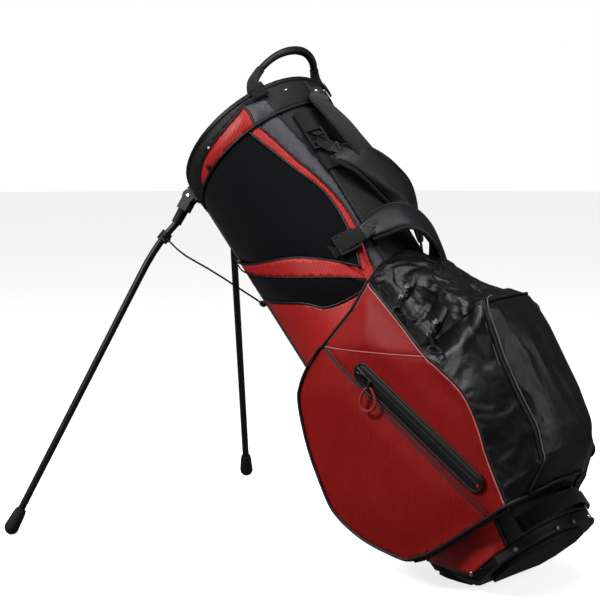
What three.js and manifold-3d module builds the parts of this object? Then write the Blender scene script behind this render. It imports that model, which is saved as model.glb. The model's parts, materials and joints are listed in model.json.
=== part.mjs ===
// Golf stand bag, leaning on its two folding legs. Millimetres, +Z up, near side -Y, legs towards -X.
// The bag is built upright in its own frame (x to the spine side, z along the bag), then leant as one group.
// The origin is the middle of the toe plate's ground face.
import * as THREE from "three";
import { mergeVertices } from "three/addons/utils/BufferGeometryUtils.js";
import Module from "manifold-3d";

const wasm = await Module();
wasm.setup();

// Stance
const LEAN = THREE.MathUtils.degToRad(40);
const TOE_LENGTH = 90;
const KINK_X = -47;
const FOOT_SPREAD = 296;
const FOOT_REACH = 189;
const HINGE_OUT = 8;
const HINGE_Y = 55;
const HINGE_DROP = 16;

// Clearances between pieces
const GAP = 0.3;
const RUN_GAP = 0.6;

// Tube of the bag: an oval at the mouth that turns into the plan of the base
const MOUTH_Z = 808;
const MOUTH_TILT = 13;
const MOUTH_RX = 128;
const MOUTH_RY = 129;
const WAIST_RX = 112;
const WAIST_RY = 119;
const WALL = 3.2;
const OVAL_FROM_Z = 240;
const FACET = 7.5;
const TUBE_HEIGHTS = [120, 160, 200, OVAL_FROM_Z];
const COLLAR_HEIGHT = 52;
const COLLAR_THICK = 5;
const CUFF_DEPTH = 34;
const CUFF_WALL = 5;
const CUFF_LIP = 5;

// Base tray
const TRAY_WALL = 4;
const TRAY_FLOOR = 6;
const TRAY_Z = 90;
const PLATE_THICK = 9;
const TOE_RIM = 27;
const RIM_LOW_X = -5;
const RIM_LOW_Z = 10;
const RIM_BACK_Z = 16;
const PAD_THICK = 8;
const PAD_FRONT = 27;

// Toe lever
const BARREL_RADIUS = 6.9;
const BARREL_HALF = 56;
const PIN_RADIUS = 2.5;
const BOSS_HALF = 7;
const TONGUE_REACH = 15;
const TONGUE_HALF = 10;

// Stand
const LEG_RADIUS = 5.9;
const LEG_WALL = 1;
const BEND_AT = 92;
const BEND_OUT = 12;
const HEAD_RADIUS = 11;
const LUG_HALF = 6;
const EAR_THICK = 4;
const EYE_AT = 78;
const WIRE_RADIUS = 1.6;
const WIRE_OFFSET = 13;
const FOOT_RADIUS = 12;
const FOOT_HEIGHT = 34;
const YOKE_Y = 70;
const YOKE_DROP = 232;
const ROD_RADIUS = 2.5;
const ROD_OFF = 8;
const CHANNEL_HALF = 12;
const CHANNEL_DEPTH = 13;
const CHANNEL_DROP = 84;
const CHANNEL_BASE = 96;

// Soft goods
const POCKET_IN = 82;
const POCKET_FACE = 152;
const REAR_HALF = 108;
const REAR_TOP = 308;
const UPPER_TOP = 424;
const BAND_THICK = 9;
const PAD_WIDTH = 62;
const STRAP_THICK = 15;
const WEB_WIDTH = 26;
const WEB_THICK = 2.6;

// Places tied to the sizes above
const HINGE_X = -MOUTH_RX - HINGE_OUT;
const HINGE_Z = MOUTH_Z - HINGE_DROP;
const YOKE_Z = HINGE_Z - YOKE_DROP;
const CHANNEL_TOP = YOKE_Z - CHANNEL_DROP;
const belowMouth = (distance) => MOUTH_Z - distance;

const finish = {
  moulding: { color: 0x1b1b1d, roughness: 0.55, metalness: 0 },
  coated_red: { color: 0xb3282b, roughness: 0.5, metalness: 0 },
  black_mesh: { color: 0x202124, roughness: 0.9, metalness: 0 },
  satin_vinyl: { color: 0x3c3c44, roughness: 0.4, metalness: 0 },
  coated_black: { color: 0x17181a, roughness: 0.35, metalness: 0 },
  webbing: { color: 0x151517, roughness: 0.85, metalness: 0 },
  rubber: { color: 0x121212, roughness: 0.8, metalness: 0 },
  black_tube: { color: 0x1c1c1e, roughness: 0.45, metalness: 0.3 },
  steel: { color: 0xb8b8bc, roughness: 0.3, metalness: 1 },
};

const bag = new THREE.Group();
bag.rotation.y = -LEAN;
bag.position.set(TOE_LENGTH / 2 - KINK_X * Math.cos(LEAN), 0, -KINK_X * Math.sin(LEAN));
const part = new THREE.Group();
part.add(bag);

const sideName = (side) => (side < 0 ? "near" : "far");

function add(parent, name, geometry, look) {
  const mesh = new THREE.Mesh(geometry, new THREE.MeshStandardMaterial(finish[look]));
  mesh.name = name;
  parent.add(mesh);
  return mesh;
}

// Solids and booleans
function solidOf(geometry) {
  const bare = geometry.index ? geometry.toNonIndexed() : geometry.clone();
  const only = new THREE.BufferGeometry().setAttribute("position", bare.getAttribute("position"));
  const merged = mergeVertices(only, 1e-3);
  const mesh = new wasm.Mesh({
    numProp: 3,
    vertProperties: new Float32Array(merged.attributes.position.array),
    triVerts: new Uint32Array(merged.index.array),
  });
  return new wasm.Manifold(mesh);
}

function geometryOf(solid) {
  const mesh = solid.getMesh();
  const geometry = new THREE.BufferGeometry();
  geometry.setAttribute("position", new THREE.BufferAttribute(new Float32Array(mesh.vertProperties), 3));
  geometry.setIndex(new THREE.BufferAttribute(new Uint32Array(mesh.triVerts), 1));
  return geometry;
}

const cut = (base, ...tools) => tools.reduce((left, tool) => left.subtract(solidOf(tool)), base);
const joined = (...pieces) => pieces.map(solidOf).reduce((left, right) => left.add(right));

function placed(geometry, x = 0, y = 0, z = 0) {
  return geometry.translate(x, y, z);
}

const block = (x0, x1, y0, y1, z0, z1) =>
  placed(new THREE.BoxGeometry(x1 - x0, y1 - y0, z1 - z0), (x0 + x1) / 2, (y0 + y1) / 2, (z0 + z1) / 2);

// A round bar along x, y or z.
function bar(axis, radius, length, sides = 20) {
  const geometry = new THREE.CylinderGeometry(radius, radius, length, sides);
  if (axis === "x") return geometry.rotateZ(-Math.PI / 2);
  if (axis === "z") return geometry.rotateX(Math.PI / 2);
  return geometry;
}

// Closed skin through a row of rings with the same count of points; "strip" caps suit bands folded in half.
function loft(rings, cap = "fan") {
  const count = rings[0].length;
  const points = rings.flat();
  const faces = [];
  for (let i = 0; i < rings.length - 1; i += 1) {
    for (let j = 0; j < count; j += 1) {
      const k = (j + 1) % count;
      const [a, b] = [i * count + j, i * count + k];
      faces.push(a, b, b + count, a, b + count, a + count);
    }
  }
  const last = (rings.length - 1) * count;
  if (cap === "strip") {
    for (let j = 0; j < count / 2 - 1; j += 1) {
      const [a, b, c, d] = [j, j + 1, count - 2 - j, count - 1 - j];
      faces.push(a, c, b, a, d, c);
      faces.push(last + a, last + b, last + c, last + a, last + c, last + d);
    }
  } else {
    for (const [start, forward] of [[0, false], [last, true]]) {
      const middle = new THREE.Vector3();
      for (let j = 0; j < count; j += 1) middle.addScaledVector(points[start + j], 1 / count);
      points.push(middle);
      for (let j = 0; j < count; j += 1) {
        const k = (j + 1) % count;
        if (forward) faces.push(start + j, start + k, points.length - 1);
        else faces.push(start + k, start + j, points.length - 1);
      }
    }
  }
  const geometry = new THREE.BufferGeometry().setFromPoints(points);
  geometry.setIndex(faces);
  return outward(geometry);
}

// Turns a closed skin right side out.
function outward(geometry) {
  const at = geometry.getAttribute("position");
  const index = geometry.index.array;
  const corner = [0, 1, 2].map(() => new THREE.Vector3());
  let volume = 0;
  for (let i = 0; i < index.length; i += 3) {
    corner.forEach((c, k) => c.fromBufferAttribute(at, index[i + k]));
    volume += corner[0].dot(corner[1].clone().cross(corner[2]));
  }
  if (volume < 0) {
    for (let i = 0; i < index.length; i += 3) [index[i + 1], index[i + 2]] = [index[i + 2], index[i + 1]];
  }
  return geometry;
}

// A prism across the bag from a side outline of [x, z] points.
function sidePrism(outline, halfWidth) {
  const shape = new THREE.Shape(outline.map(([x, z]) => new THREE.Vector2(x, z)));
  const prism = new THREE.ExtrudeGeometry(shape, { depth: 2 * halfWidth, bevelEnabled: false });
  return prism.rotateX(Math.PI / 2).translate(0, halfWidth, 0);
}

// A rounded section swept along points; "across" is the direction of its width at each point.
function sweep(path, across, width, thick, round = 3) {
  const rings = path.map((point, i) => {
    const before = path[Math.max(0, i - 1)];
    const after = path[Math.min(path.length - 1, i + 1)];
    const along = after.clone().sub(before).normalize();
    const side = across(i / (path.length - 1)).clone();
    side.addScaledVector(along, -side.dot(along)).normalize();
    const up = along.clone().cross(side);
    const w = typeof width === "function" ? width(i / (path.length - 1)) : width;
    const t = typeof thick === "function" ? thick(i / (path.length - 1)) : thick;
    const ring = [];
    for (let k = 0; k < 4 * round; k += 1) {
      const quarter = Math.floor(k / round);
      const angle = ((quarter + (k % round) / (round - 1)) * Math.PI) / 2;
      const corner = Math.min(w, t) * 0.45;
      const cx = (w / 2 - corner) * (quarter === 0 || quarter === 3 ? 1 : -1);
      const cy = (t / 2 - corner) * (quarter < 2 ? 1 : -1);
      const sx = cx + corner * Math.cos(angle);
      const sy = cy + corner * Math.sin(angle);
      ring.push(point.clone().addScaledVector(side, sx).addScaledVector(up, sy));
    }
    return ring;
  });
  return loft(rings);
}

// A round tube or rod along points, hollow when a bore is given.
function pipe(path, radius, sides = 10, bore = 0) {
  const frame = [];
  let side = new THREE.Vector3(0.3, 0.9, 0.2);
  path.forEach((point, i) => {
    const before = path[Math.max(0, i - 1)];
    const after = path[Math.min(path.length - 1, i + 1)];
    const along = after.clone().sub(before).normalize();
    side = side.clone().addScaledVector(along, -side.dot(along)).normalize();
    frame.push([point, side, along.clone().cross(side)]);
  });
  const rings = (r) =>
    frame.map(([point, u, v]) =>
      Array.from({ length: sides }, (_, k) => {
        const angle = (k * 2 * Math.PI) / sides;
        return point
          .clone()
          .addScaledVector(u, r * Math.cos(angle))
          .addScaledVector(v, r * Math.sin(angle));
      }),
    );
  const rod = loft(rings(radius));
  if (!bore) return rod;
  const core = rings(bore);
  const over = 5;
  const lift = (ring, a, b) =>
    ring.map((p) => p.clone().addScaledVector(b.clone().sub(a).normalize(), over));
  core.unshift(lift(core[0], path[1], path[0]));
  core.push(lift(core[core.length - 1], path[path.length - 2], path[path.length - 1]));
  return geometryOf(cut(solidOf(rod), loft(core)));
}

const curve = (points, count) =>
  new THREE.CatmullRomCurve3(
    points.map((p) => new THREE.Vector3(...p)),
    false,
    "centripetal",
  ).getPoints(count);

// Heights and outlines of the leaning base
const groundZ = (x, above = 0) => (above - (x - KINK_X) * Math.sin(LEAN)) / Math.cos(LEAN);
const groundPoint = (along, above) => [
  KINK_X + along * Math.cos(LEAN) + above * Math.sin(LEAN),
  -along * Math.sin(LEAN) + above * Math.cos(LEAN),
];
const [TOE_RIM_X, TOE_RIM_Z] = groundPoint(-TOE_LENGTH, TOE_RIM);
const rimLine = (x) =>
  x < RIM_LOW_X
    ? RIM_LOW_Z + ((RIM_LOW_X - x) * (TOE_RIM_Z - RIM_LOW_Z)) / (RIM_LOW_X - TOE_RIM_X)
    : RIM_LOW_Z + ((x - RIM_LOW_X) * (RIM_BACK_Z - RIM_LOW_Z)) / (WAIST_RX - RIM_LOW_X);

// Everything above (side 1) or below (side -1) the rim line
const FAR_OUT = 300;
function rimCut(above, side) {
  const end = side * 2 * FAR_OUT;
  const outline = [[-FAR_OUT, rimLine(-FAR_OUT) + above], [RIM_LOW_X, RIM_LOW_Z + above],
    [FAR_OUT, rimLine(FAR_OUT) + above], [FAR_OUT, end], [-FAR_OUT, end]];
  return sidePrism(outline, FAR_OUT);
}

// Half outlines of the tray in plan, [x, half width], at its sole and at its rim
const SOLE = [[114, 0], [110, 38], [97, 72], [75, 101], [45, 121], [5, 114], [-25, 92], [-47, 66], [-80, 56],
  [-106, 46], [-116, 28], [-119, 0]];
const RIM = [[114, 0], [110, 38], [97, 72], [75, 101], [45, 121], [5, 120], [-25, 113], [-50, 101],
  [-80, 82], [-103, 60], [-114, 32], [-119, 0]];

function planRing(half, z, inset) {
  const near = half.map(([x, y]) => [x, -y]);
  const far = half.slice(1, -1).reverse();
  return [...near, ...far].map(([x, y]) => {
    const reach = Math.hypot(x, y);
    const k = (reach - inset) / reach;
    return new THREE.Vector3(x * k, y * k, z);
  });
}

// Radius of the rim's plan in a direction, for the foot of the tube
function planRadius(phi, half) {
  const angle = Math.abs(Math.atan2(Math.sin(phi), Math.cos(phi)));
  for (let i = 0; i < half.length - 1; i += 1) {
    const [x0, y0] = half[i];
    const [x1, y1] = half[i + 1];
    const a0 = Math.atan2(y0, x0);
    const a1 = i === half.length - 2 ? Math.PI : Math.atan2(y1, x1);
    if (angle <= a1 + 1e-9) {
      const k = (angle - a0) / (a1 - a0);
      return Math.hypot(x0, y0) * (1 - k) + Math.hypot(x1, y1) * k;
    }
  }
  return Math.hypot(...half[half.length - 1]);
}

// Point on the tube's skin: phi runs from the spine (0) over the near side (90 degrees) to the front (180).
function skin(phi, z, out = 0) {
  const up = THREE.MathUtils.clamp(z / MOUTH_Z, 0, 1);
  const rx = THREE.MathUtils.lerp(WAIST_RX, MOUTH_RX, up);
  const ry = THREE.MathUtils.lerp(WAIST_RY, MOUTH_RY, up);
  const oval = (rx * ry) / Math.hypot(ry * Math.cos(phi), rx * Math.sin(phi));
  const blend = THREE.MathUtils.smoothstep(z, TRAY_Z / 2, OVAL_FROM_Z);
  const radius = THREE.MathUtils.lerp(planRadius(phi, RIM), oval, blend) + out;
  return new THREE.Vector3(radius * Math.cos(phi), -radius * Math.sin(phi), z);
}

const rad = THREE.MathUtils.degToRad;
const mouthZ = (x, below = 0) => MOUTH_Z - below + (MOUTH_TILT * x) / MOUTH_RX;

// A full oval column between two heights given as functions of x
const ROUND_SIDES = 48;
function column(bottom, top, out) {
  return loft([bottom, top].map((height) =>
    Array.from({ length: ROUND_SIDES }, (_, k) => {
      const phi = (k * 2 * Math.PI) / ROUND_SIDES;
      return skin(phi, height(skin(phi, MOUTH_Z, out).x), out);
    })));
}

// A closed hoop round the tube from one section of [out, height as a function of x] points
function hoop(section) {
  const count = section.length;
  const points = [];
  const faces = [];
  for (let i = 0; i < ROUND_SIDES; i += 1) {
    const phi = (i * 2 * Math.PI) / ROUND_SIDES;
    const here = i * count;
    const next = ((i + 1) % ROUND_SIDES) * count;
    section.forEach(([out, height], j) => {
      points.push(skin(phi, height(skin(phi, MOUTH_Z, out).x), out));
      const after = (j + 1) % count;
      const [a, b, c, d] = [here + j, here + after, next + after, next + j];
      faces.push(a, b, c, a, c, d);
    });
  }
  const geometry = new THREE.BufferGeometry().setFromPoints(points);
  geometry.setIndex(faces);
  return outward(geometry);
}

// The tube, in four curved panels
function wallPanel(from, to, top) {
  const across = Math.round((to - from) / FACET);
  const heights = [0, 1 / 2];
  const fixed = TUBE_HEIGHTS;
  const rings = [];
  for (let i = 0; i < heights.length + fixed.length + 1; i += 1) {
    const outer = [];
    const inner = [];
    for (let k = 0; k <= across; k += 1) {
      const phi = rad(THREE.MathUtils.lerp(from, to, k / across));
      const low = rimLine(skin(phi, TRAY_Z, 0).x) - 4;
      let z = top(skin(phi, MOUTH_Z).x);
      if (i < heights.length) z = THREE.MathUtils.lerp(low, TUBE_HEIGHTS[0], heights[i]);
      else if (i < heights.length + fixed.length) z = fixed[i - heights.length];
      outer.push(skin(phi, z, 0));
      inner.push(skin(phi, z, -WALL));
    }
    rings.push([...outer, ...inner.reverse()]);
  }
  return geometryOf(cut(solidOf(loft(rings, "strip")), rimCut(GAP, -1)));
}

const SEAM = 0.12;
const panelTop = (x) => mouthZ(x, CUFF_LIP + 2 * GAP);
const panels = [
  ["spine_panel", -37.5, 37.5, "satin_vinyl"],
  ["near_side_panel", 37.5, 142.5, "black_mesh"],
  ["front_panel", 142.5, 217.5, "coated_red"],
  ["far_side_panel", 217.5, 322.5, "black_mesh"],
];
for (const [name, from, to, look] of panels) {
  add(bag, name, wallPanel(from + SEAM, to - SEAM, panelTop), look);
}

// The room that the tube takes up, for what is fitted round it
const FIT_GAP = 1;
const tubeCore = loft([-20, 10, 30, 50, 70, 95, ...TUBE_HEIGHTS, MOUTH_Z].map((z) =>
  Array.from({ length: ROUND_SIDES }, (_, k) => skin((k * 2 * Math.PI) / ROUND_SIDES, z, FIT_GAP))));

// Padded collar round the outside, under the lip
const EDGE_ROUND = 1.6;
const collarTop = CUFF_LIP + GAP;
const collarSection = [[GAP, collarTop], [COLLAR_THICK, collarTop], [COLLAR_THICK, COLLAR_HEIGHT - 5],
  [COLLAR_THICK - EDGE_ROUND, COLLAR_HEIGHT], [GAP, COLLAR_HEIGHT]];
const mouthHoop = (section) => hoop(section.map(([out, below]) => [out, (x) => mouthZ(x, below)]));
add(bag, "collar_band", mouthHoop(collarSection), "coated_red");

// Full-length dividers: two across the bag and one between them, hung under bars that the cuff carries
const DIVIDER_X = 36;
const DIVIDER_THICK = 3;
const DIVIDER_LOW = 26;
const BAR_THICK = 7;
const BAR_DEPTH = 18;
const BAR_DROP = 4;
const cuffOuter = -WALL - 2 * GAP;
const cuffInner = cuffOuter - CUFF_WALL;

// Half width of the tube's inside at a place across it
function chord(x, z, inset) {
  let [low, high] = [0, Math.PI];
  for (let i = 0; i < 30; i += 1) {
    const middle = (low + high) / 2;
    if (skin(middle, z, inset).x > x) low = middle;
    else high = middle;
  }
  return -skin(low, z, inset).y;
}

// A flat sheet across the bag at x, from z stations and the half width at each
function crossSheet(x, thick, stations) {
  return loft(stations.map(([z, reach]) =>
    [[-1, -1], [1, -1], [1, 1], [-1, 1]].map(
      ([i, j]) => new THREE.Vector3(x + (i * thick) / 2, j * reach, z),
    )));
}
const barLow = (x) => mouthZ(x, BAR_DROP + BAR_DEPTH);
function crossDivider(x) {
  const top = barLow(x) - GAP - (BAR_THICK * MOUTH_TILT) / MOUTH_RX;
  const cuffLow = mouthZ(x, CUFF_DEPTH + 6);
  const open = [60, 100, ...TUBE_HEIGHTS].map((z) => [z, chord(x, z, -WALL) - 2]);
  const inCuff = (z) => [z, chord(x, z, cuffInner) - 2];
  return crossSheet(x, DIVIDER_THICK,
    [[DIVIDER_LOW, chord(x, DIVIDER_LOW, -WALL) - 16], ...open, inCuff(cuffLow), inCuff(top)]);
}
add(bag, "front_divider", crossDivider(-DIVIDER_X), "webbing");
add(bag, "back_divider", crossDivider(DIVIDER_X), "webbing");
const midHalf = DIVIDER_X - DIVIDER_THICK / 2 - GAP;
const midTop = barLow(-midHalf) - GAP;
add(bag, "middle_divider",
  block(-midHalf, midHalf, -DIVIDER_THICK / 2, DIVIDER_THICK / 2, DIVIDER_LOW, midTop), "webbing");

// Top cuff: a moulded ring inside the tube, a lip over the panels' edge, and bars over the dividers
const cuffSection = [[cuffInner, CUFF_DEPTH], [cuffOuter, CUFF_DEPTH], [cuffOuter, CUFF_LIP],
  [COLLAR_THICK, CUFF_LIP], [COLLAR_THICK, EDGE_ROUND], [COLLAR_THICK - EDGE_ROUND, 0],
  [cuffInner + EDGE_ROUND, 0], [cuffInner, EDGE_ROUND]];
const cuffHoop = solidOf(mouthHoop(cuffSection));
function cuffBar(x) {
  const [a, b] = [barLow(x), mouthZ(x, BAR_DROP)];
  const reach = (z) => [z, chord(x, z, cuffInner) + CUFF_WALL / 2];
  const round = BAR_THICK / 3;
  const core = crossSheet(x, BAR_THICK, [reach(a), reach(b - round)]);
  const crown = crossSheet(x, BAR_THICK - 2 * round, [reach(b - round - 1), reach(b)]);
  return solidOf(core).add(solidOf(crown));
}
const midBar = (() => {
  const half = BAR_THICK / 2;
  const outline = [[-DIVIDER_X, barLow(-DIVIDER_X)], [DIVIDER_X, barLow(DIVIDER_X)],
    [DIVIDER_X, mouthZ(DIVIDER_X, BAR_DROP + 1)], [-DIVIDER_X, mouthZ(-DIVIDER_X, BAR_DROP + 1)]];
  return sidePrism(outline, half);
})();
const cuff = cuffHoop.add(cuffBar(-DIVIDER_X)).add(cuffBar(DIVIDER_X)).add(solidOf(midBar));
add(bag, "top_cuff", geometryOf(cuff), "moulding");

// Side stays inside the tube, from the tray's floor to the cuff
const STAY_RADIUS = 3;
for (const side of [-1, 1]) {
  const angle = side < 0 ? rad(90) : rad(270);
  const inset = -WALL - STAY_RADIUS - GAP;
  const path = [TRAY_FLOOR + GAP, 120, OVAL_FROM_Z, 500, MOUTH_Z - CUFF_DEPTH - 2].map((z) =>
    skin(angle, z, z < 30 ? inset - 11 : inset - 1),
  );
  add(bag, `${sideName(side)}_stay`, pipe(path, STAY_RADIUS, 8), "steel");
}

// Base tray: flared nose on the chamfer, groove for the toe lever's barrel, rim that dips at the sides
const BARREL_Z = BARREL_RADIUS / Math.cos(LEAN);
function trayBlank(inset, floor, above) {
  const rim = planRing(RIM, 0, inset);
  const edge = rim.map((p) => new THREE.Vector3(p.x, p.y, rimLine(p.x) + 1));
  const rings = [planRing(SOLE, floor, inset), edge];
  if (above) rings.push(edge.map((p) => new THREE.Vector3(p.x, p.y, p.z + above)));
  return loft(rings);
}
const chamfer = (above) =>
  sidePrism([[-FAR_OUT, groundZ(-FAR_OUT, above)], [-FAR_OUT, -FAR_OUT],
    [FAR_OUT, -FAR_OUT], [FAR_OUT, groundZ(FAR_OUT, above)]], FAR_OUT);
const plateTop = PLATE_THICK + 1;
const hollow = cut(solidOf(trayBlank(TRAY_WALL, TRAY_FLOOR, TRAY_Z)), chamfer(plateTop + TRAY_FLOOR));
const boss = (side) =>
  block(KINK_X - BOSS_HALF, KINK_X + BOSS_HALF, side < 0 ? -BARREL_HALF - 15 : BARREL_HALF + 1,
    side < 0 ? -BARREL_HALF - 1 : BARREL_HALF + 15, 2, BARREL_Z + BOSS_HALF);
const BELT_THICK = 1.6;
const BELT_DROP = 12;
const BELT_FRONT = -96;
const belt = cut(solidOf(trayBlank(-BELT_THICK, 0, 0)), rimCut(-BELT_DROP, 1),
  block(-FAR_OUT, BELT_FRONT, -FAR_OUT, FAR_OUT, -FAR_OUT, FAR_OUT));
let tray = solidOf(trayBlank(0, 0, 0)).add(belt).subtract(hollow);
tray = cut(tray, chamfer(plateTop), rimCut(0, 1));
for (const side of [-1, 1]) tray = tray.add(cut(solidOf(boss(side)), chamfer(plateTop)));
const grooveRadius = BARREL_RADIUS + RUN_GAP + 0.6;
const groove = placed(bar("y", grooveRadius, 2 * BARREL_HALF + 2 * RUN_GAP, 28), KINK_X, 0, BARREL_Z);
const pinHole = placed(bar("y", PIN_RADIUS + 0.15, 2 * BARREL_HALF + 26, 16), KINK_X, 0, BARREL_Z);
tray = cut(tray, groove, pinHole);
add(bag, "base_tray", geometryOf(tray), "moulding");

// Rubber pad under the main sole
const PAD_PLAN = [[94, 0], [88, 42], [70, 74], [40, 92], [0, 84], [KINK_X + PAD_FRONT, 62],
  [KINK_X + PAD_FRONT, 0]];
const padRings = [-PAD_THICK, -PAD_THICK + 2, -GAP].map((z, i) => planRing(PAD_PLAN, z, i === 0 ? 2 : 0));
add(bag, "sole_pad", loft(padRings), "rubber");

// Toe lever: plate on the ground, barrel on its pin, tongue under the push rod
const plateGroup = new THREE.Group();
plateGroup.position.set(KINK_X, 0, BARREL_Z);
plateGroup.rotation.y = LEAN;
bag.add(plateGroup);
const plateUnder = -BARREL_RADIUS;
const AXIS_BACK = BARREL_Z * Math.sin(LEAN);
const PLATE_REAR = 0;
const PLATE_FRONT = -(TOE_LENGTH - AXIS_BACK);
function plateShape() {
  const half = [[PLATE_REAR, 62], [-30, 59], [-60, 52], [PLATE_FRONT + 6, 43], [PLATE_FRONT, 34]];
  const points = [...half, ...half.map(([x, y]) => [x, -y]).reverse()];
  const shape = new THREE.Shape(points.map(([x, y]) => new THREE.Vector2(x, y)));
  return new THREE.ExtrudeGeometry(shape, { depth: PLATE_THICK, bevelEnabled: false });
}
const plateBody = placed(plateShape(), 0, 0, plateUnder);
const barrelClear = block(-grooveRadius, 40, BARREL_HALF, 80, -20, 20);
const barrelClearFar = block(-grooveRadius, 40, -80, -BARREL_HALF, -20, 20);
const tongue = block(PLATE_FRONT - TONGUE_REACH, PLATE_FRONT + 4, -TONGUE_HALF, TONGUE_HALF,
  plateUnder + PLATE_THICK - 5, plateUnder + PLATE_THICK);
const TREAD_PITCH = 16;
const TREAD_COUNT = 4;
const TREAD_HALF = 36;
const treads = Array.from({ length: TREAD_COUNT }, (_, i) => {
  const x = -14 - i * TREAD_PITCH;
  return block(x - 2, x + 2, -TREAD_HALF, TREAD_HALF, plateUnder - 1, plateUnder + 1.5);
});
let lever = cut(joined(plateBody, bar("y", BARREL_RADIUS, 2 * BARREL_HALF, 24), tongue), ...treads);
lever = cut(lever, bar("y", PIN_RADIUS + 0.15, 200, 16), barrelClear, barrelClearFar);
add(plateGroup, "toe_lever", geometryOf(lever), "rubber");
add(plateGroup, "toe_pin", bar("y", PIN_RADIUS, 2 * BARREL_HALF + 24, 16), "steel");

// Front channel and push rod
const frontLine = (z, off) => skin(Math.PI, z, off);
const rodLow = groundZ(frontLine(CHANNEL_BASE, ROD_OFF).x, PLATE_THICK) + RUN_GAP;
const rodPath = [frontLine(CHANNEL_BASE, ROD_OFF).setZ(rodLow), frontLine(OVAL_FROM_Z, ROD_OFF)];
const slideDir = frontLine(YOKE_Z, ROD_OFF).sub(frontLine(OVAL_FROM_Z, ROD_OFF)).normalize();
rodPath[0] = rodPath[1].clone().addScaledVector(slideDir, -(rodPath[1].z - rodLow) / slideDir.z);
const rodTop = rodPath[1].clone().addScaledVector(slideDir, (YOKE_Z - OVAL_FROM_Z) / slideDir.z);
const pusher = new THREE.Group();
pusher.position.copy(rodTop);
const slideFrame = new THREE.Matrix4().makeBasis(slideDir,
  new THREE.Vector3(0, 1, 0), slideDir.clone().cross(new THREE.Vector3(0, 1, 0)));
pusher.quaternion.setFromRotationMatrix(slideFrame);
bag.add(pusher);
pusher.updateMatrix();
const intoPusher = pusher.matrix.clone().invert();
const inPusher = (geometry) => geometry.applyMatrix4(intoPusher);
const channelMid = rodPath[1].clone();
function channelSection(half, depth) {
  const steps = [CHANNEL_BASE, OVAL_FROM_Z, CHANNEL_TOP];
  return steps.map((z) => {
    const centre = channelMid.clone().addScaledVector(slideDir, (z - channelMid.z) / slideDir.z);
    const inner = centre.x + ROD_OFF - GAP - 1.2;
    return [[inner, -half], [inner, half], [inner - depth, half * 0.8], [inner - depth, -half * 0.8]].map(
      ([x, y]) => new THREE.Vector3(x, y, z),
    );
  });
}
const channelOuter = solidOf(loft(channelSection(CHANNEL_HALF, CHANNEL_DEPTH)));
const rodRun = rodPath[1].clone().addScaledVector(slideDir, -MOUTH_Z);
const rodEnd = rodPath[1].clone().addScaledVector(slideDir, MOUTH_Z);
const channelBore = pipe([rodRun, rodEnd], ROD_RADIUS + RUN_GAP, 16);
add(bag, "rod_channel", geometryOf(cut(channelOuter, channelBore, tubeCore)), "moulding");

// Legs: fork, bent tube, clip and foot on a frame whose x is the hinge axis and z runs down the leg
const hipAt = (side) => new THREE.Vector3(HINGE_X, side * HINGE_Y, HINGE_Z);
const HIP_HEIGHT = HINGE_Z * Math.cos(LEAN) + (HINGE_X - KINK_X) * Math.sin(LEAN);
const HIP_BACK = HINGE_Z * Math.sin(LEAN) - (HINGE_X - KINK_X) * Math.cos(LEAN);
const LEG_LENGTH = Math.hypot(HIP_HEIGHT, FOOT_REACH, FOOT_SPREAD - HINGE_Y);
function footAt(side) {
  const footWorldX = -HIP_BACK - FOOT_REACH;
  const footX = footWorldX * Math.cos(LEAN) + KINK_X;
  return new THREE.Vector3(footX, side * FOOT_SPREAD, -footWorldX * Math.sin(LEAN));
}
const foldedDir = slideDir.clone().negate();

function legFrame(side) {
  const hip = hipAt(side);
  const down = footAt(side).sub(hip).normalize();
  const axis = down.clone().cross(foldedDir).normalize();
  const basis = new THREE.Matrix4().makeBasis(axis, down.clone().cross(axis), down);
  const frame = new THREE.Group();
  frame.position.copy(hip);
  frame.quaternion.setFromRotationMatrix(basis);
  bag.add(frame);
  frame.updateMatrix();
  return frame;
}

const headReach = LUG_HALF + RUN_GAP;
const SLEEVE_FROM = 22;
const SLEEVE_TO = 50;
const TUBE_FROM = 31;
const SLEEVE_RADIUS = 9;
const legBend = () => [
  new THREE.Vector3(0, 0, TUBE_FROM),
  new THREE.Vector3(0, 0, SLEEVE_TO),
  ...new THREE.QuadraticBezierCurve3(
    new THREE.Vector3(0, 2, SLEEVE_TO + 8),
    new THREE.Vector3(0, BEND_OUT + 2, BEND_AT + 4),
    new THREE.Vector3(0, BEND_OUT, BEND_AT + 60),
  ).getPoints(5),
  new THREE.Vector3(0, 0, LEG_LENGTH - FOOT_HEIGHT + 8),
];
const wireSide = (side) => (side < 0 ? 1 : -1);

const HEAD_HALF = HEAD_RADIUS * 0.8;
function fork() {
  const ear = (s) => {
    const x = s * (headReach + EAR_THICK / 2);
    const round = placed(bar("x", HEAD_RADIUS, EAR_THICK, 16), x, 0, 0);
    const web = block(x - EAR_THICK / 2, x + EAR_THICK / 2, -HEAD_HALF, HEAD_HALF, 0, SLEEVE_FROM);
    return [round, web];
  };
  const bridge = block(-headReach - EAR_THICK, headReach + EAR_THICK, -HEAD_HALF, HEAD_HALF,
    HEAD_RADIUS + RUN_GAP + 2, SLEEVE_FROM + 3);
  const taper = new THREE.CylinderGeometry(SLEEVE_RADIUS, SLEEVE_RADIUS * 0.92, SLEEVE_TO - SLEEVE_FROM, 16);
  const sleeve = placed(taper.rotateX(-Math.PI / 2), 0, 0, (SLEEVE_FROM + SLEEVE_TO) / 2);
  const solid = joined(...ear(-1), ...ear(1), bridge, sleeve);
  const socket = placed(bar("z", LEG_RADIUS + GAP, SLEEVE_TO, 16), 0, 0, TUBE_FROM - GAP + SLEEVE_TO / 2);
  return geometryOf(cut(solid, bar("x", PIN_RADIUS + 0.15, 60, 16), socket));
}

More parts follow.
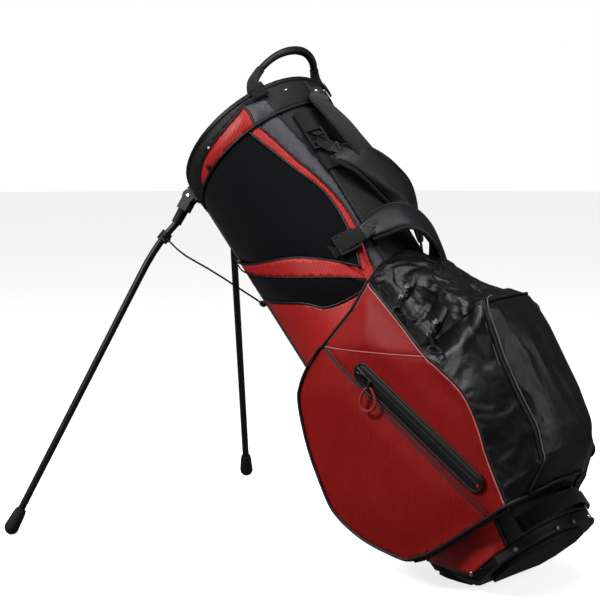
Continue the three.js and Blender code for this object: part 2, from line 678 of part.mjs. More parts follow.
// Rubber foot with a round tip that just meets the ground
function footCup() {
  const steep = HIP_HEIGHT / LEG_LENGTH;
  const centre = LEG_LENGTH - FOOT_RADIUS / steep;
  const profile = [[0, centre - FOOT_HEIGHT], [8.4, centre - FOOT_HEIGHT], [10, centre - FOOT_HEIGHT + 8]];
  for (let i = 0; i <= 5; i += 1) {
    const angle = (i * Math.PI) / 10;
    profile.push([FOOT_RADIUS * Math.cos(angle), centre + FOOT_RADIUS * Math.sin(angle)]);
  }
  profile[profile.length - 1][0] = 0;
  const turned = new THREE.LatheGeometry(profile.map(([r, h]) => new THREE.Vector2(r, h)), 14);
  return outward(mergeVertices(bareCopy(turned.rotateX(Math.PI / 2)), 1e-4));
}

function legPieces(side) {
  const name = sideName(side);
  const frame = legFrame(side);
  const w = wireSide(side);
  add(frame, `${name}_leg_fork`, fork(), "moulding");
  const path = legBend();
  add(frame, `${name}_leg_tube`, pipe(path, LEG_RADIUS, 10, LEG_RADIUS - LEG_WALL), "black_tube");
  const foot = solidOf(footCup());
  const tail = [path[path.length - 2], path[path.length - 1]];
  const direction = tail[1].clone().sub(tail[0]).normalize();
  const along = (distance) => tail[1].clone().addScaledVector(direction, distance);
  const socket = pipe([along(-60), along(GAP)], LEG_RADIUS + GAP, 16);
  add(frame, `${name}_foot`, geometryOf(cut(foot, socket)), "rubber");
  const at = tubeAt(path, EYE_AT);
  const collar = bar("z", LEG_RADIUS + 3.6, 17, 18);
  const lugFace = WIRE_OFFSET - WIRE_RADIUS - RUN_GAP;
  const drop = -at.point.y;
  const lug = block(Math.min(0, w * lugFace), Math.max(0, w * lugFace), drop, drop / 2, -6, 6);
  const face = placed(bar("x", 6, lugFace, 16), (w * lugFace) / 2, drop, 0);
  let clip = joined(collar, lug, face);
  clip = cut(clip, bar("z", LEG_RADIUS + 2 * GAP, 80, 16));
  const mesh = add(frame, `${name}_leg_clip`, geometryOf(clip), "moulding");
  mesh.position.copy(at.point);
  mesh.quaternion.setFromUnitVectors(new THREE.Vector3(0, 0, 1), at.along);
  return { frame, eye: new THREE.Vector3(w * WIRE_OFFSET, 0, EYE_AT) };
}

function bareCopy(geometry) {
  const plain = geometry.index ? geometry.toNonIndexed() : geometry;
  return new THREE.BufferGeometry().setAttribute("position", plain.getAttribute("position"));
}

// Centre and direction of the leg tube at a distance down the leg
function tubeAt(path, distance) {
  for (let i = 0; i < path.length - 1; i += 1) {
    const [a, b] = [path[i], path[i + 1]];
    if (b.z >= distance) {
      const point = a.clone().lerp(b, (distance - a.z) / (b.z - a.z));
      return { point, along: b.clone().sub(a).normalize() };
    }
  }
  return { point: path[0].clone(), along: new THREE.Vector3(0, 0, 1) };
}

const FOLD = footAt(-1).sub(hipAt(-1)).angleTo(foldedDir);

// Wires: from a pin on the yoke to an eye beside the clip's face
const YOKE_OFF = 4;
const STUB_OFF = 9.7;
const yokeX = (y) => skin(Math.PI, YOKE_Z).x * Math.sqrt(1 - (y / skin(Math.PI / 2, YOKE_Z).y) ** 2);
function wireSwing(side, leg) {
  const pivot = new THREE.Vector3(yokeX(YOKE_Y) - STUB_OFF, side * YOKE_Y, YOKE_Z);
  const eye = leg.eye.clone().applyMatrix4(leg.frame.matrix);
  const hip = hipAt(side);
  const axis = footAt(side).sub(hip).normalize().cross(foldedDir).normalize();
  const eyeFolded = eye.clone().sub(hip).applyAxisAngle(axis, FOLD).add(hip);
  const reach = eye.distanceTo(pivot);
  const miss = (t) => eyeFolded.distanceTo(pivot.clone().addScaledVector(foldedDir, t)) - reach;
  let travel = LEG_LENGTH / 12;
  for (let i = 0; i < 40; i += 1) travel -= miss(travel) / (miss(travel + 0.5) - miss(travel - 0.5));
  const from = eye.clone().sub(pivot);
  const into = eyeFolded.clone().sub(pivot).addScaledVector(foldedDir, -travel);
  const swingAxis = from.clone().cross(into).normalize();
  const frame = new THREE.Group();
  const along = from.clone().normalize();
  frame.position.copy(pivot);
  frame.quaternion.setFromRotationMatrix(
    new THREE.Matrix4().makeBasis(swingAxis, along.clone().cross(swingAxis), along),
  );
  frame.updateMatrix();
  return { frame, reach, travel, swing: from.angleTo(into), axis: swingAxis };
}

const EYE_RADIUS = 4.6;
const STUB_RADIUS = 1.7;
const WIRE_BOW = 6;
function wire(swing, side) {
  const start = EYE_RADIUS - 1;
  const path = curve([[0, 0, start], [0, -side * WIRE_BOW * 0.4, swing.reach * 0.5],
    [0, -side * WIRE_BOW, swing.reach * 0.8], [0, 0, swing.reach - 1]], 8);
  const disc = (z) => placed(bar("x", EYE_RADIUS, 2 * WIRE_RADIUS, 12), 0, 0, z);
  const dome = placed(bar("x", EYE_RADIUS - 1.4, 1.4, 12), side * (WIRE_RADIUS + 0.6), 0, swing.reach);
  const solid = joined(pipe(path, WIRE_RADIUS, 6), disc(0), disc(swing.reach), dome);
  return geometryOf(cut(solid, bar("x", STUB_RADIUS + GAP, 20, 10)));
}

// The yoke follows the skin round to a stub pin at each side of the folded legs.
const YOKE_STEPS = 10;
const YOKE_END = 5;
function yoke(swings) {
  const path = [];
  for (let i = 0; i <= YOKE_STEPS; i += 1) {
    const y = ((2 * i) / YOKE_STEPS - 1) * (YOKE_Y - 7);
    path.push(new THREE.Vector3(yokeX(y) - YOKE_OFF - ROD_RADIUS, y, YOKE_Z));
  }
  const rodFoot = rodPath[0];
  const rod = pipe([rodFoot, rodTop], ROD_RADIUS, 10);
  const rodCap = placed(bar("y", 6, 12, 12), rodTop.x + 1, 0, rodTop.z);
  const ends = swings.flatMap(({ frame }, i) => {
    const inward = i === 0 ? 1 : -1;
    const barrel = placed(bar("x", YOKE_END, 5, 10), inward * (WIRE_RADIUS + RUN_GAP + 2.5), 0, 0);
    const stub = placed(bar("x", STUB_RADIUS, 10, 8), -inward * 1.2, 0, 0);
    const head = placed(bar("x", STUB_RADIUS + 1.2, 1.2, 8), -inward * (WIRE_RADIUS + RUN_GAP + 0.4), 0, 0);
    return [barrel, stub, head].map((g) => g.applyMatrix4(frame.matrix));
  });
  return geometryOf(joined(rod, pipe(path, ROD_RADIUS, 6), rodCap, ...ends));
}

const swings = [];
const hingePinLength = 2 * (headReach + EAR_THICK) + 3;
for (const side of [-1, 1]) {
  const leg = legPieces(side);
  add(leg.frame, `${sideName(side)}_hinge_pin`, bar("x", PIN_RADIUS, hingePinLength, 16), "steel");
  const swing = wireSwing(side, leg);
  bag.add(swing.frame);
  add(swing.frame, `${sideName(side)}_wire`, wire(swing, side), "steel");
  swings.push(swing);
}
add(pusher, "push_rod", inPusher(yoke(swings)), "steel");

// Stand bracket: a moulded bar on the collar's front with one lug for each leg
const BRACKET_LOW = HINGE_Z - 24;
const BRACKET_HIGH = HINGE_Z + 4;
const BRACKET_OUT = 11;
const BRACKET_HALF = 34;
function bracketBody() {
  const rings = [BRACKET_LOW, BRACKET_HIGH].map((z) => {
    const outer = [];
    const inner = [];
    const steps = 10;
    for (let k = 0; k <= steps; k += 1) {
      const phi = Math.PI + rad(THREE.MathUtils.lerp(-BRACKET_HALF, BRACKET_HALF, k / steps));
      outer.push(skin(phi, z, COLLAR_THICK + BRACKET_OUT * (Math.abs(k - steps / 2) > 3 ? 0.5 : 0.8)));
      inner.push(skin(phi, z, COLLAR_THICK + GAP));
    }
    return [...outer, ...inner.reverse()];
  });
  return loft(rings, "strip");
}

// The room that the fork's bridge and sleeve sweep through as the leg folds, beyond a radius from the pin
const SECTOR_REACH = 62;
function foldSector(from, halfWidth) {
  const half = Math.max(HEAD_HALF, SLEEVE_RADIUS) + RUN_GAP;
  const turned = (y, z, t) => [y * Math.cos(t) - z * Math.sin(t), y * Math.sin(t) + z * Math.cos(t)];
  const steps = [0, 1, 2, 3, 4, 5].map((i) => (i * FOLD) / 5);
  const outline = [turned(half, from, 0), ...steps.map((t) => turned(half, SECTOR_REACH, t)),
    turned(-half, SECTOR_REACH, FOLD), turned(-half, Math.sqrt(from ** 2 - half ** 2), FOLD),
    ...steps.map((t) => turned(0, from, FOLD - t))];
  const shape = new THREE.Shape(outline.map(([y, z]) => new THREE.Vector2(y, z)));
  const prism = new THREE.ExtrudeGeometry(shape, { depth: 2 * halfWidth, bevelEnabled: false });
  prism.translate(0, 0, -halfWidth);
  return prism.applyMatrix4(new THREE.Matrix4().makeBasis(new THREE.Vector3(0, 1, 0),
    new THREE.Vector3(0, 0, 1), new THREE.Vector3(1, 0, 0)));
}
let bracket = solidOf(bracketBody());
for (const side of [-1, 1]) {
  const frame = legFrame(side);
  const lug = solidOf(bar("x", HEAD_RADIUS - 1, 2 * LUG_HALF, 16));
  const inward = new THREE.Vector3(1, 0, 0).transformDirection(frame.matrix.clone().invert());
  const webPath = [0, 6, 12].map((distance) => inward.clone().multiplyScalar(distance));
  const web = sweep(webPath, () => new THREE.Vector3(1, 0, 0), 2 * LUG_HALF, 2 * HEAD_RADIUS - 5);
  let arm = lug.add(solidOf(web));
  arm = solidOf(geometryOf(arm).applyMatrix4(frame.matrix));
  const keep = solidOf(column(() => HINGE_Z - 60, () => HINGE_Z + 60, COLLAR_THICK + GAP));
  bracket = bracket.add(arm.subtract(keep));
  const hole = bar("x", PIN_RADIUS + 0.15, 60, 16).applyMatrix4(frame.matrix);
  const swingRoom = (s) =>
    placed(bar("x", HEAD_RADIUS + 1.2, EAR_THICK + 3 * RUN_GAP, 16), s * (headReach + EAR_THICK / 2), 0, 0)
      .applyMatrix4(frame.matrix);
  const foldRoom = foldSector(HEAD_RADIUS + 2 * RUN_GAP, headReach + EAR_THICK + RUN_GAP);
  bracket = cut(bracket, hole, swingRoom(-1), swingRoom(1), foldRoom.applyMatrix4(frame.matrix));
}
add(bag, "stand_bracket", geometryOf(bracket), "moulding");

// Side pockets: a flat-faced pannier whose front gusset tucks in to the tube and whose rear gusset
// slopes back on to the ball pocket's side
const FRONT_EDGE = [[113, 60], [20, 64], [-50, 72], [-98, 104], [-128, 165], [-135, 235], [-118, 311],
  [-84, 374], [-34, 402], [60, 420], [113, 436]];
const REAR_EDGE = [[113, 436], [118, 372], [130, 312], [134, 298], [151, 210], [141, 150], [121, 96],
  [113, 60]];
const REAR_SPREAD = [0, 0, 0, 90, 66, 66, 62, 26];
const POCKET_CROWN = 5;
function edgePoints(edge, count) {
  const points = edge.map(([x, z]) => new THREE.Vector2(x, z));
  return new THREE.SplineCurve(points).getPoints(count).slice(0, -1);
}
const frontPoints = edgePoints(FRONT_EDGE, 15);
const edgeCorners = (edge) => edge.slice(0, -1).map(([x, z]) => new THREE.Vector2(x, z));
const rearPoints = edgeCorners(REAR_EDGE);
const spreadPoints = edgeCorners(REAR_EDGE.map(([x, z], i) => [x + REAR_SPREAD[i], z]));
const POCKET_MIDDLE = new THREE.Vector2(10, 240);
function pocketRing(y, inset, tuck, spread) {
  const rear = rearPoints.map((p, i) => p.clone().lerp(spreadPoints[i], spread));
  return [...frontPoints, ...rear].map((p) => {
    const away = p.clone().sub(POCKET_MIDDLE);
    const reach = away.length();
    const drawn = inset + tuck * THREE.MathUtils.clamp(-away.x / 140, 0, 1);
    away.multiplyScalar((reach - drawn) / reach);
    return new THREE.Vector3(POCKET_MIDDLE.x + away.x, y, POCKET_MIDDLE.y + away.y);
  });
}

// Ball pocket and the pocket above it: up the bag, the depth from the tube's middle and the corners' crown
const REAR_DEPTH = [[50, 160, 20], [60, 176, 18], [84, 208, 14], [110, 222, 14], [160, 236, 18],
  [250, 250, 8], [REAR_TOP, 250, 6], [340, 226, 10], [380, 196, 6], [UPPER_TOP, 172, 4]];
const SIDE_LEAN = (REAR_HALF - 30) / REAR_HALF;
function rearAt(z) {
  const i = Math.max(1, REAR_DEPTH.findIndex(([at]) => z <= at));
  const [a, b] = [REAR_DEPTH[i - 1], REAR_DEPTH[i]];
  const k = THREE.MathUtils.clamp((z - a[0]) / (b[0] - a[0]), 0, 1);
  return [1, 2].map((j) => THREE.MathUtils.lerp(a[j], b[j], k));
}
function rearRing(z, half, grow) {
  const [depth, crown] = rearAt(z);
  const back = depth + grow;
  const side = half + grow;
  const soft = 12;
  const near = [[70, -side], [back - crown - soft, -side], [back - crown - soft * 0.3, -side + soft * 0.3],
    [back - crown, -side + soft], [back, -side * 0.4]];
  const far = near.map(([x, y]) => [x, -y]).reverse();
  return [...near, ...far].map(([x, y]) => new THREE.Vector3(x, y, z));
}
const ballHeights = [[50, 26], [60, 10], [84, 3], [110, 0], [160, 0], [250, 0], [REAR_TOP, 0]];
const ballBlank = (grow) =>
  loft(ballHeights.map(([z, inset], i) => rearRing(z + (i === 0 ? -grow : 0), REAR_HALF - inset, grow)));
const upperHalf = (z) =>
  THREE.MathUtils.mapLinear(z, REAR_TOP, UPPER_TOP, REAR_HALF, REAR_HALF * SIDE_LEAN);
const upperHeights = [REAR_TOP + GAP, 340, 380, UPPER_TOP];
const upperBlank = (grow) => loft(upperHeights.map((z) => rearRing(z, upperHalf(z), grow)));
const biggest = (solid) => solid.decompose().sort((a, b) => b.volume() - a.volume())[0];

const SEAM_GAP = 2 * GAP;
for (const side of [-1, 1]) {
  const rings = [[POCKET_IN, 26, 24, 1], [POCKET_IN + 24, 8, 14, 1], [REAR_HALF + 4, 6, 12, 1],
    [POCKET_FACE - 14, 0, 0, 0.12], [POCKET_FACE - POCKET_CROWN, 3, 0, 0], [POCKET_FACE, 14, 0, 0]].map(
    ([y, inset, tuck, spread]) => pocketRing(side * y, inset, tuck, spread),
  );
  const pocket = cut(solidOf(loft(rings)), tubeCore, ballBlank(SEAM_GAP), upperBlank(SEAM_GAP));
  add(bag, `${sideName(side)}_side_pocket`, geometryOf(biggest(pocket)), "coated_red");
}
for (const [name, blank] of [["ball_pocket", ballBlank(0)], ["upper_pocket", upperBlank(0)]]) {
  add(bag, name, geometryOf(biggest(cut(solidOf(blank), tubeCore))), "coated_black");
}

// Rear zips on the upper pocket's near wall, each with a slider on its tape and a pull hinged to the slider
const TAPE_WIDTH = 14;
const TAPE_THICK = 1.4;
const SLIDER_LENGTH = 11;
const SLIDER_HEIGHT = 4.4;
const SLIDER_WIDTH = 9;
const CHEEK = 2.2;
const HINGE_LIFT = 1.8;
const PULL_THICK = 1.6;
const PULL_LENGTH = 21;
const PULL_WIDTH = 8;
const PULL_LIFT = 120;
const wallTilt = Math.atan2(REAR_HALF * (1 - SIDE_LEAN), UPPER_TOP - REAR_TOP);

// A frame on the wall: x across the zip, y out of the wall, z along the zip from its rear end
function zipFrame([fromX, fromZ], [toX, toZ]) {
  const frame = new THREE.Group();
  const normal = new THREE.Vector3(0, -Math.cos(wallTilt), Math.sin(wallTilt));
  const along = new THREE.Vector3(toX - fromX, 0, toZ - fromZ);
  along.y = (along.z * normal.z) / -normal.y;
  frame.userData = { length: along.length() };
  along.normalize();
  frame.position.set(fromX, -upperHalf(fromZ), fromZ).addScaledVector(normal, GAP);
  const basis = new THREE.Matrix4().makeBasis(normal.clone().cross(along), normal, along);
  frame.quaternion.setFromRotationMatrix(basis);
  bag.add(frame);
  return frame;
}

function rearZip(name, from, to, at, ahead) {
  const frame = zipFrame(from, to);
  const half = SLIDER_WIDTH / 2;
  const low = TAPE_THICK + GAP;
  const high = low + SLIDER_HEIGHT;
  const hingeY = high + HINGE_LIFT;
  const tape = block(-TAPE_WIDTH / 2, TAPE_WIDTH / 2, 0, TAPE_THICK, 0, frame.userData.length);
  add(frame, `${name}_zip_tape`, tape, "moulding");

  const cheeks = [[-half, -half + CHEEK], [half - CHEEK, half]].map(([a, b]) =>
    block(a, b, high - 1, hingeY + 1.6, at - 2, at + 2));
  const body = block(-half, half, low, high, at - SLIDER_LENGTH / 2, at + SLIDER_LENGTH / 2);
  const slider = add(frame, `${name}_zip_slider`, geometryOf(joined(body, ...cheeks)), "steel");
  slider.userData = { range: [-Math.round(at - SLIDER_LENGTH / 2 - 1), ahead] };

  const pivot = new THREE.Group();
  pivot.position.set(0, hingeY, at);
  frame.add(pivot);
  const neckHalf = half - CHEEK - 2 * GAP;
  const barrel = bar("x", 1.3, 2 * neckHalf, 8);
  const plate = block(-PULL_WIDTH / 2, PULL_WIDTH / 2, -PULL_THICK / 2, PULL_THICK / 2, 3.4, PULL_LENGTH);
  const neck = block(-neckHalf, neckHalf, -PULL_THICK / 2, PULL_THICK / 2, 0, 5);
  const eye = placed(bar("y", 2.2, 8, 8), 0, 0, PULL_LENGTH - 4);
  const window = block(-2, 2, -4, 4, 7, 12);
  const holed = cut(joined(barrel, plate, neck), eye, window);
  const pull = add(pivot, `${name}_zip_pull`, geometryOf(holed), "steel");
  pull.userData = { range: [0, PULL_LIFT] };
}
const ZIP_AHEAD = 6;
rearZip("upper", [REAR_HALF + 52, UPPER_TOP - 13], [REAR_HALF + 2, UPPER_TOP - 35], 17.5, ZIP_AHEAD);
rearZip("lower", [REAR_HALF + 82, REAR_TOP + 31], [REAR_HALF + 30, REAR_TOP + 8], 27.5, ZIP_AHEAD);

// Drinks pocket bands on the sides: slanted, higher at the front
const BAND_TURN = [58, 82, 112, 136];
const BAND_HIGH = [330, 276, 218, 172].map((drop, i) => [BAND_TURN[i], belowMouth(drop)]);
const BAND_LOW = [362, 356, 308, 252].map((drop, i) => [BAND_TURN[i], belowMouth(drop)]);
function bandRing(degrees, top, low, side) {
  const phi = side < 0 ? rad(degrees) : rad(-degrees);
  const soft = BAND_THICK * 0.6;
  const section = [[low, GAP], [low, soft], [low + 12, BAND_THICK], [top - 12, BAND_THICK], [top, soft],
    [top, GAP]];
  return section.map(([z, out]) => skin(phi, z, out));
}
for (const side of [-1, 1]) {
  const rings = [];
  for (let i = 0; i <= 12; i += 1) {
    const t = i / 12;
    const at = (rows) => {
      const spline = new THREE.SplineCurve(rows.map(([a, z]) => new THREE.Vector2(a, z)));
      return spline.getPoint(t);
    };
    const high = at(BAND_HIGH);
    const low = at(BAND_LOW);
    rings.push(bandRing(high.x, high.y, Math.min(low.y, high.y - 26), side));
  }
  add(bag, `${sideName(side)}_drinks_pocket`, loft(rings), "black_mesh");
}

// Spine strap panel and its anchor plate
function skinStrip(from, to, low, high, inner, outer) {
  const rings = [low, THREE.MathUtils.lerp(low, high, 0.5), high].map((z) => {
    const face = [];
    const back = [];
    for (let k = 0; k <= 6; k += 1) {
      const phi = rad(THREE.MathUtils.lerp(from, to, k / 6));
      face.push(skin(phi, z, outer));
      back.push(skin(phi, z, inner));
    }
    return [...face, ...back.reverse()];
  });
  return loft(rings, "strip");
}
const STRIP_OUT = 3.4;
const COLLAR_FOOT = mouthZ(MOUTH_RX, COLLAR_HEIGHT) - 2;
add(bag, "spine_strip", skinStrip(-22, 22, UPPER_TOP + 6, COLLAR_FOOT, FIT_GAP / 2, STRIP_OUT), "webbing");

// Grab handle over the spine side of the mouth
const HANDLE_HALF = 84;
const HANDLE_RISE = 58;
const HANDLE_LEAN = 40;
const HANDLE_THICK = 11;
function handlePath() {
  const foot = skin(Math.asin(HANDLE_HALF / MOUTH_RY), MOUTH_Z, 0).x;
  const points = [];
  for (let i = 0; i <= 12; i += 1) {
    const t = -1 + i / 6;
    const arch = Math.sqrt(Math.max(0, 1 - Math.abs(t) ** 2.6));
    const y = HANDLE_HALF * Math.sign(t) * Math.abs(t) ** 0.9;
    points.push(new THREE.Vector3(foot + HANDLE_LEAN * arch, y, mouthZ(foot) + GAP + HANDLE_RISE * arch));
  }
  return points;
}
const handleWidth = (t) => HANDLE_THICK + 9 * Math.abs(2 * t - 1) ** 4;
const handleAcross = () => new THREE.Vector3(0.9, 0, -0.45);
const handleBlank = solidOf(sweep(handlePath(), handleAcross, handleWidth, HANDLE_THICK));
const handleSeat = column((x) => mouthZ(x, 90), (x) => mouthZ(x) + GAP, 50);
add(bag, "top_handle", geometryOf(cut(handleBlank, handleSeat)), "webbing");

// Shoulder straps: webbing on the tube, a pad on each webbing, and the pad's far end sewn to the tube
const WEB_OUT = STRIP_OUT + GAP + WEB_THICK;
const WEB_TURN = THREE.MathUtils.radToDeg(WEB_WIDTH / 2 / MOUTH_RX);
const UPPER_PHI = 20;
const LOWER_PHI = 40;
const LOWER_Z = belowMouth(283);
const upperWeb = skinStrip(UPPER_PHI - WEB_TURN, UPPER_PHI + WEB_TURN, belowMouth(160), belowMouth(56),
  STRIP_OUT + GAP, WEB_OUT);
add(bag, "upper_strap_web", upperWeb, "webbing");
add(bag, "lower_strap_web",
  skinStrip(27, 53, LOWER_Z - WEB_WIDTH / 2, LOWER_Z + WEB_WIDTH / 2, GAP, GAP + WEB_THICK), "webbing");

const shareCurve = (shares) => new THREE.SplineCurve(shares.map((p) => new THREE.Vector2(...p)));
const PAD_SPREAD = shareCurve([[0, 0.6], [0.15, 0.85], [0.4, 1], [0.62, 0.9], [0.75, 0.5], [0.85, 0.42],
  [1, 0.42]]);
const PAD_DEPTH = shareCurve([[0, 0.5], [0.15, 0.9], [0.4, 1], [0.62, 0.95], [0.75, 0.35], [0.85, 0.2],
  [1, 0.2]]);
function strapPad(name, path, across) {
  const points = new THREE.CatmullRomCurve3(path, false, "centripetal").getPoints(15);
  const width = (t) => PAD_WIDTH * PAD_SPREAD.getPoint(t).y;
  const thick = (t) => STRAP_THICK * PAD_DEPTH.getPoint(t).y;
  add(bag, name, sweep(points, across, width, thick), "coated_black");
}
const padOut = WEB_OUT + GAP + STRAP_THICK / 4;
const way = (x, y, z) => new THREE.Vector3(x, y, z);
const spot = (x, y, drop) => way(x, y, belowMouth(drop));
strapPad("upper_strap_pad",
  [skin(rad(UPPER_PHI), belowMouth(140), padOut + 1.6), skin(rad(17), belowMouth(156), padOut + 4.5),
    spot(158, 0, 186), spot(170, 28, 220), spot(156, 54, 256), spot(126, 68, 288),
    skin(rad(-36), belowMouth(318), 3)],
  (t) => way(0.3, 0.8, 0.35).lerp(way(-0.59, 0.81, 0), THREE.MathUtils.smoothstep(t, 0.5, 0.85)));
strapPad("lower_strap_pad",
  [skin(rad(31), LOWER_Z, padOut - STRIP_OUT + 3.7), skin(rad(25), LOWER_Z + 2, padOut + 5),
    spot(176, -22, 288), spot(192, 18, 314), spot(172, 50, 348), spot(136, 72, 358),
    skin(rad(-47), belowMouth(360), 3)],
  (t) => way(-0.3 * (1 - t), 0.45 * Math.sin(Math.PI * t), 0.9));

const BUCKLE_THICK = 5;
const BUCKLE_WIDTH = 34;
const BUCKLE_HEIGHT = 36;
function buckle(name, degrees, z, out, turn) {
  const [t, w, h] = [BUCKLE_THICK / 2, BUCKLE_WIDTH / 2, BUCKLE_HEIGHT / 2];
  const slots = [-1, 0, 1].map((row) => block(-t - 1, t + 1, -w + 4, w - 4, row * 11 - 3, row * 11 + 3));
  const frame = cut(solidOf(block(-t, t, -w, w, -h, h)), ...slots);
  const mesh = add(bag, name, geometryOf(frame).rotateX(turn), "moulding");
  mesh.position.copy(skin(rad(degrees), z, out + GAP + 0.1 + t));
  mesh.rotation.z = -rad(degrees);
}
buckle("upper_buckle", UPPER_PHI, belowMouth(108), WEB_OUT, 0);
buckle("lower_buckle", LOWER_PHI + 2, LOWER_Z, GAP + WEB_THICK, Math.PI / 2);

// Rear grab band at the foot of the spine
const GRAB_Z = 28;
const GRAB_REACH = 146;
const GRAB_THICK = 3.6;
function grabPath() {
  const near = [[64, 0], [54, 0.5], [44, 4], [33, 13]].map(([degrees, off]) =>
    skin(rad(degrees), GRAB_Z, FIT_GAP + GRAB_THICK / 2 + off));
  const far = near.map((p) => new THREE.Vector3(p.x, -p.y, p.z)).reverse();
  const points = [...near, new THREE.Vector3(GRAB_REACH, 0, GRAB_Z), ...far];
  return new THREE.CatmullRomCurve3(points, false, "centripetal").getPoints(14);
}
const bandAcross = () => new THREE.Vector3(0, 0, 1);
add(bag, "rear_grab_band", sweep(grabPath(), bandAcross, WEB_WIDTH, GRAB_THICK, 2), "webbing");

// Zips on the side pockets: a welded strip and a slider with its tab
const ZIP_FROM = [39, 340];
const ZIP_TO = [108, 98];
const ZIP_WIDTH = 27;
const ZIP_THICK = 2.4;
const ZIP_MARGIN = 6;
const CAR_THICK = 4;
const CAR_FROM = 4;
const CAR_TO = 18;
const TAB_TO = 48;
for (const side of [-1, 1]) {
  const name = sideName(side);
  const run = new THREE.Vector2(ZIP_TO[0] - ZIP_FROM[0], ZIP_TO[1] - ZIP_FROM[1]);
  const length = run.length();
  const strip = new THREE.Group();
  strip.position.set(ZIP_FROM[0], side * (POCKET_FACE + GAP), ZIP_FROM[1]);
  strip.rotation.y = Math.atan2(run.x, run.y);
  bag.add(strip);
  const layer = (half, low, high, from, to) =>
    block(-half, half, Math.min(side * low, side * high), Math.max(side * low, side * high), from, to);
  add(strip, `${name}_zip_strip`,
    layer(ZIP_WIDTH / 2, 0, ZIP_THICK, -ZIP_MARGIN, length + ZIP_MARGIN), "moulding");
  const lift = ZIP_THICK + GAP;
  const car = layer(5, lift, lift + CAR_THICK, CAR_FROM, CAR_TO);
  const tab = layer(3, lift, lift + CAR_THICK * 0.6, CAR_TO - 1, TAB_TO);
  const mesh = add(strip, `${name}_zip_slider`, geometryOf(joined(car, tab)), "coated_black");
  mesh.userData = { run: Math.round(length - TAB_TO) };
}

export default part;
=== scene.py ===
"""Golf stand bag leaning on its open legs: cloth, padding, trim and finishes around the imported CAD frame.

Sizes are millimetres in the bag's own upright frame: x to the spine side, y to the far side, z along the
bag from the sole. phi is the angle round the tube in degrees: 0 at the spine, 90 at the near side and 180
at the front. to_row() places everything in metres in the row frame.
"""

import json
import math

import bmesh
import bpy
import numpy as np
from bpy.props import FloatProperty, FloatVectorProperty
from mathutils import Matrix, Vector, kdtree, noise
from mathutils.geometry import delaunay_2d_cdt, intersect_line_line_2d

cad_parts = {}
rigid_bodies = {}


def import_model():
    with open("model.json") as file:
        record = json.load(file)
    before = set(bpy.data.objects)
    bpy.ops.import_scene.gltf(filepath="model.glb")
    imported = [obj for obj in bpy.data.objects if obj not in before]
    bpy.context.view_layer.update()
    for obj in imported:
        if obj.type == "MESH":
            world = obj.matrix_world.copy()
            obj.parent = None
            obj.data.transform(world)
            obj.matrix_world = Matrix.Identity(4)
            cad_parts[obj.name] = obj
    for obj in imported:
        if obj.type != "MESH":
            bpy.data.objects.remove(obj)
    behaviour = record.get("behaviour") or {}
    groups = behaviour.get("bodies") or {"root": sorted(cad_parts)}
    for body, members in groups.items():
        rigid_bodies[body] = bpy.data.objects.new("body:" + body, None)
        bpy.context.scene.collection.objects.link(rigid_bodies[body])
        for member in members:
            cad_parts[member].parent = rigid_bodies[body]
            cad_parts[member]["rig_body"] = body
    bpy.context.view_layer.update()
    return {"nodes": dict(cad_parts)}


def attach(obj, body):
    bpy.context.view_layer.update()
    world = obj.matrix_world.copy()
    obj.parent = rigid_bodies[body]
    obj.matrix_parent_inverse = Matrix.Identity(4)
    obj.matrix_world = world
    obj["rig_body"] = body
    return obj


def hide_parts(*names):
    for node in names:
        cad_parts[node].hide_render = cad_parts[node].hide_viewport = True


bl_info = {
    "name": "Golf stand bag",
    "version": (1, 0, 0),
    "blender": (4, 5, 0),
    "location": "3D View > Sidebar > Golf bag",
    "description": "Cloth, padding, trim and finishes of a golf stand bag around its packed frame",
    "category": "Object",
}

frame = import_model()

# The tube, as the frame has it
LEAN = math.radians(40)
KINK_X = -47
TOE_LENGTH = 90
MOUTH_Z = 808
MOUTH_TILT = 13
MOUTH_RX, MOUTH_RY = 128, 129
WAIST_RX, WAIST_RY = 112, 119
WALL = 3.2
TRAY_Z = 90
OVAL_FROM_Z = 240
COLLAR_HEIGHT = 52
COLLAR_THICK = 5
RIM_LOW_X, RIM_LOW_Z, RIM_BACK_Z = -5, 10, 16
RIM_TOE_X, RIM_TOE_Z = -98.6, 78.5
TRAY_RIM = [(114, 0), (110, 38), (97, 72), (75, 101), (45, 121), (5, 120), (-25, 113), (-50, 101), (-80, 82),
            (-103, 60), (-114, 32), (-119, 0)]

# Seams between the tube's cloth panels on one half, as [phi, z] runs
BODY_SEAMS = {
    "stripe_front": [(58.5, 770), (57.5, 755), (53.6, 728), (48.9, 696), (44.2, 665), (38.9, 637),
                     (35.6, 612), (34.4, 583), (34.8, 557), (36.4, 536), (40, 500), (43, 481)],
    "stripe_rear": [(52.5, 774), (48.3, 748), (44.2, 715), (40, 681), (35.2, 651), (31, 619), (28.6, 590),
                    (27.8, 568), (28, 550), (30, 520), (34, 478), (36, 446), (40, 400)],
    "spine": [(38, 812), (34, 760), (30, 719), (26, 676), (22, 616), (24, 514), (24, 430), (24, 300)],
    "band_top": [(147, 647), (142, 640), (110, 592), (75, 546), (43, 481)],
    "band_low": [(147, 634), (142, 626), (83, 522), (44, 459)],
    "mesh_low": [(147, 571), (142, 564), (94, 492), (79, 460), (64, 449), (50, 449), (44, 459)],
    "rear_low": [(44, 459), (48, 380), (50, 300), (55, 100), (62, -40)],
    "band_end": [(43, 481), (44, 459)],
    "rear_top": [(-4, 434), (24, 434), (36, 440), (50, 440)],
}
FRONT_SEAM_PHI = 142

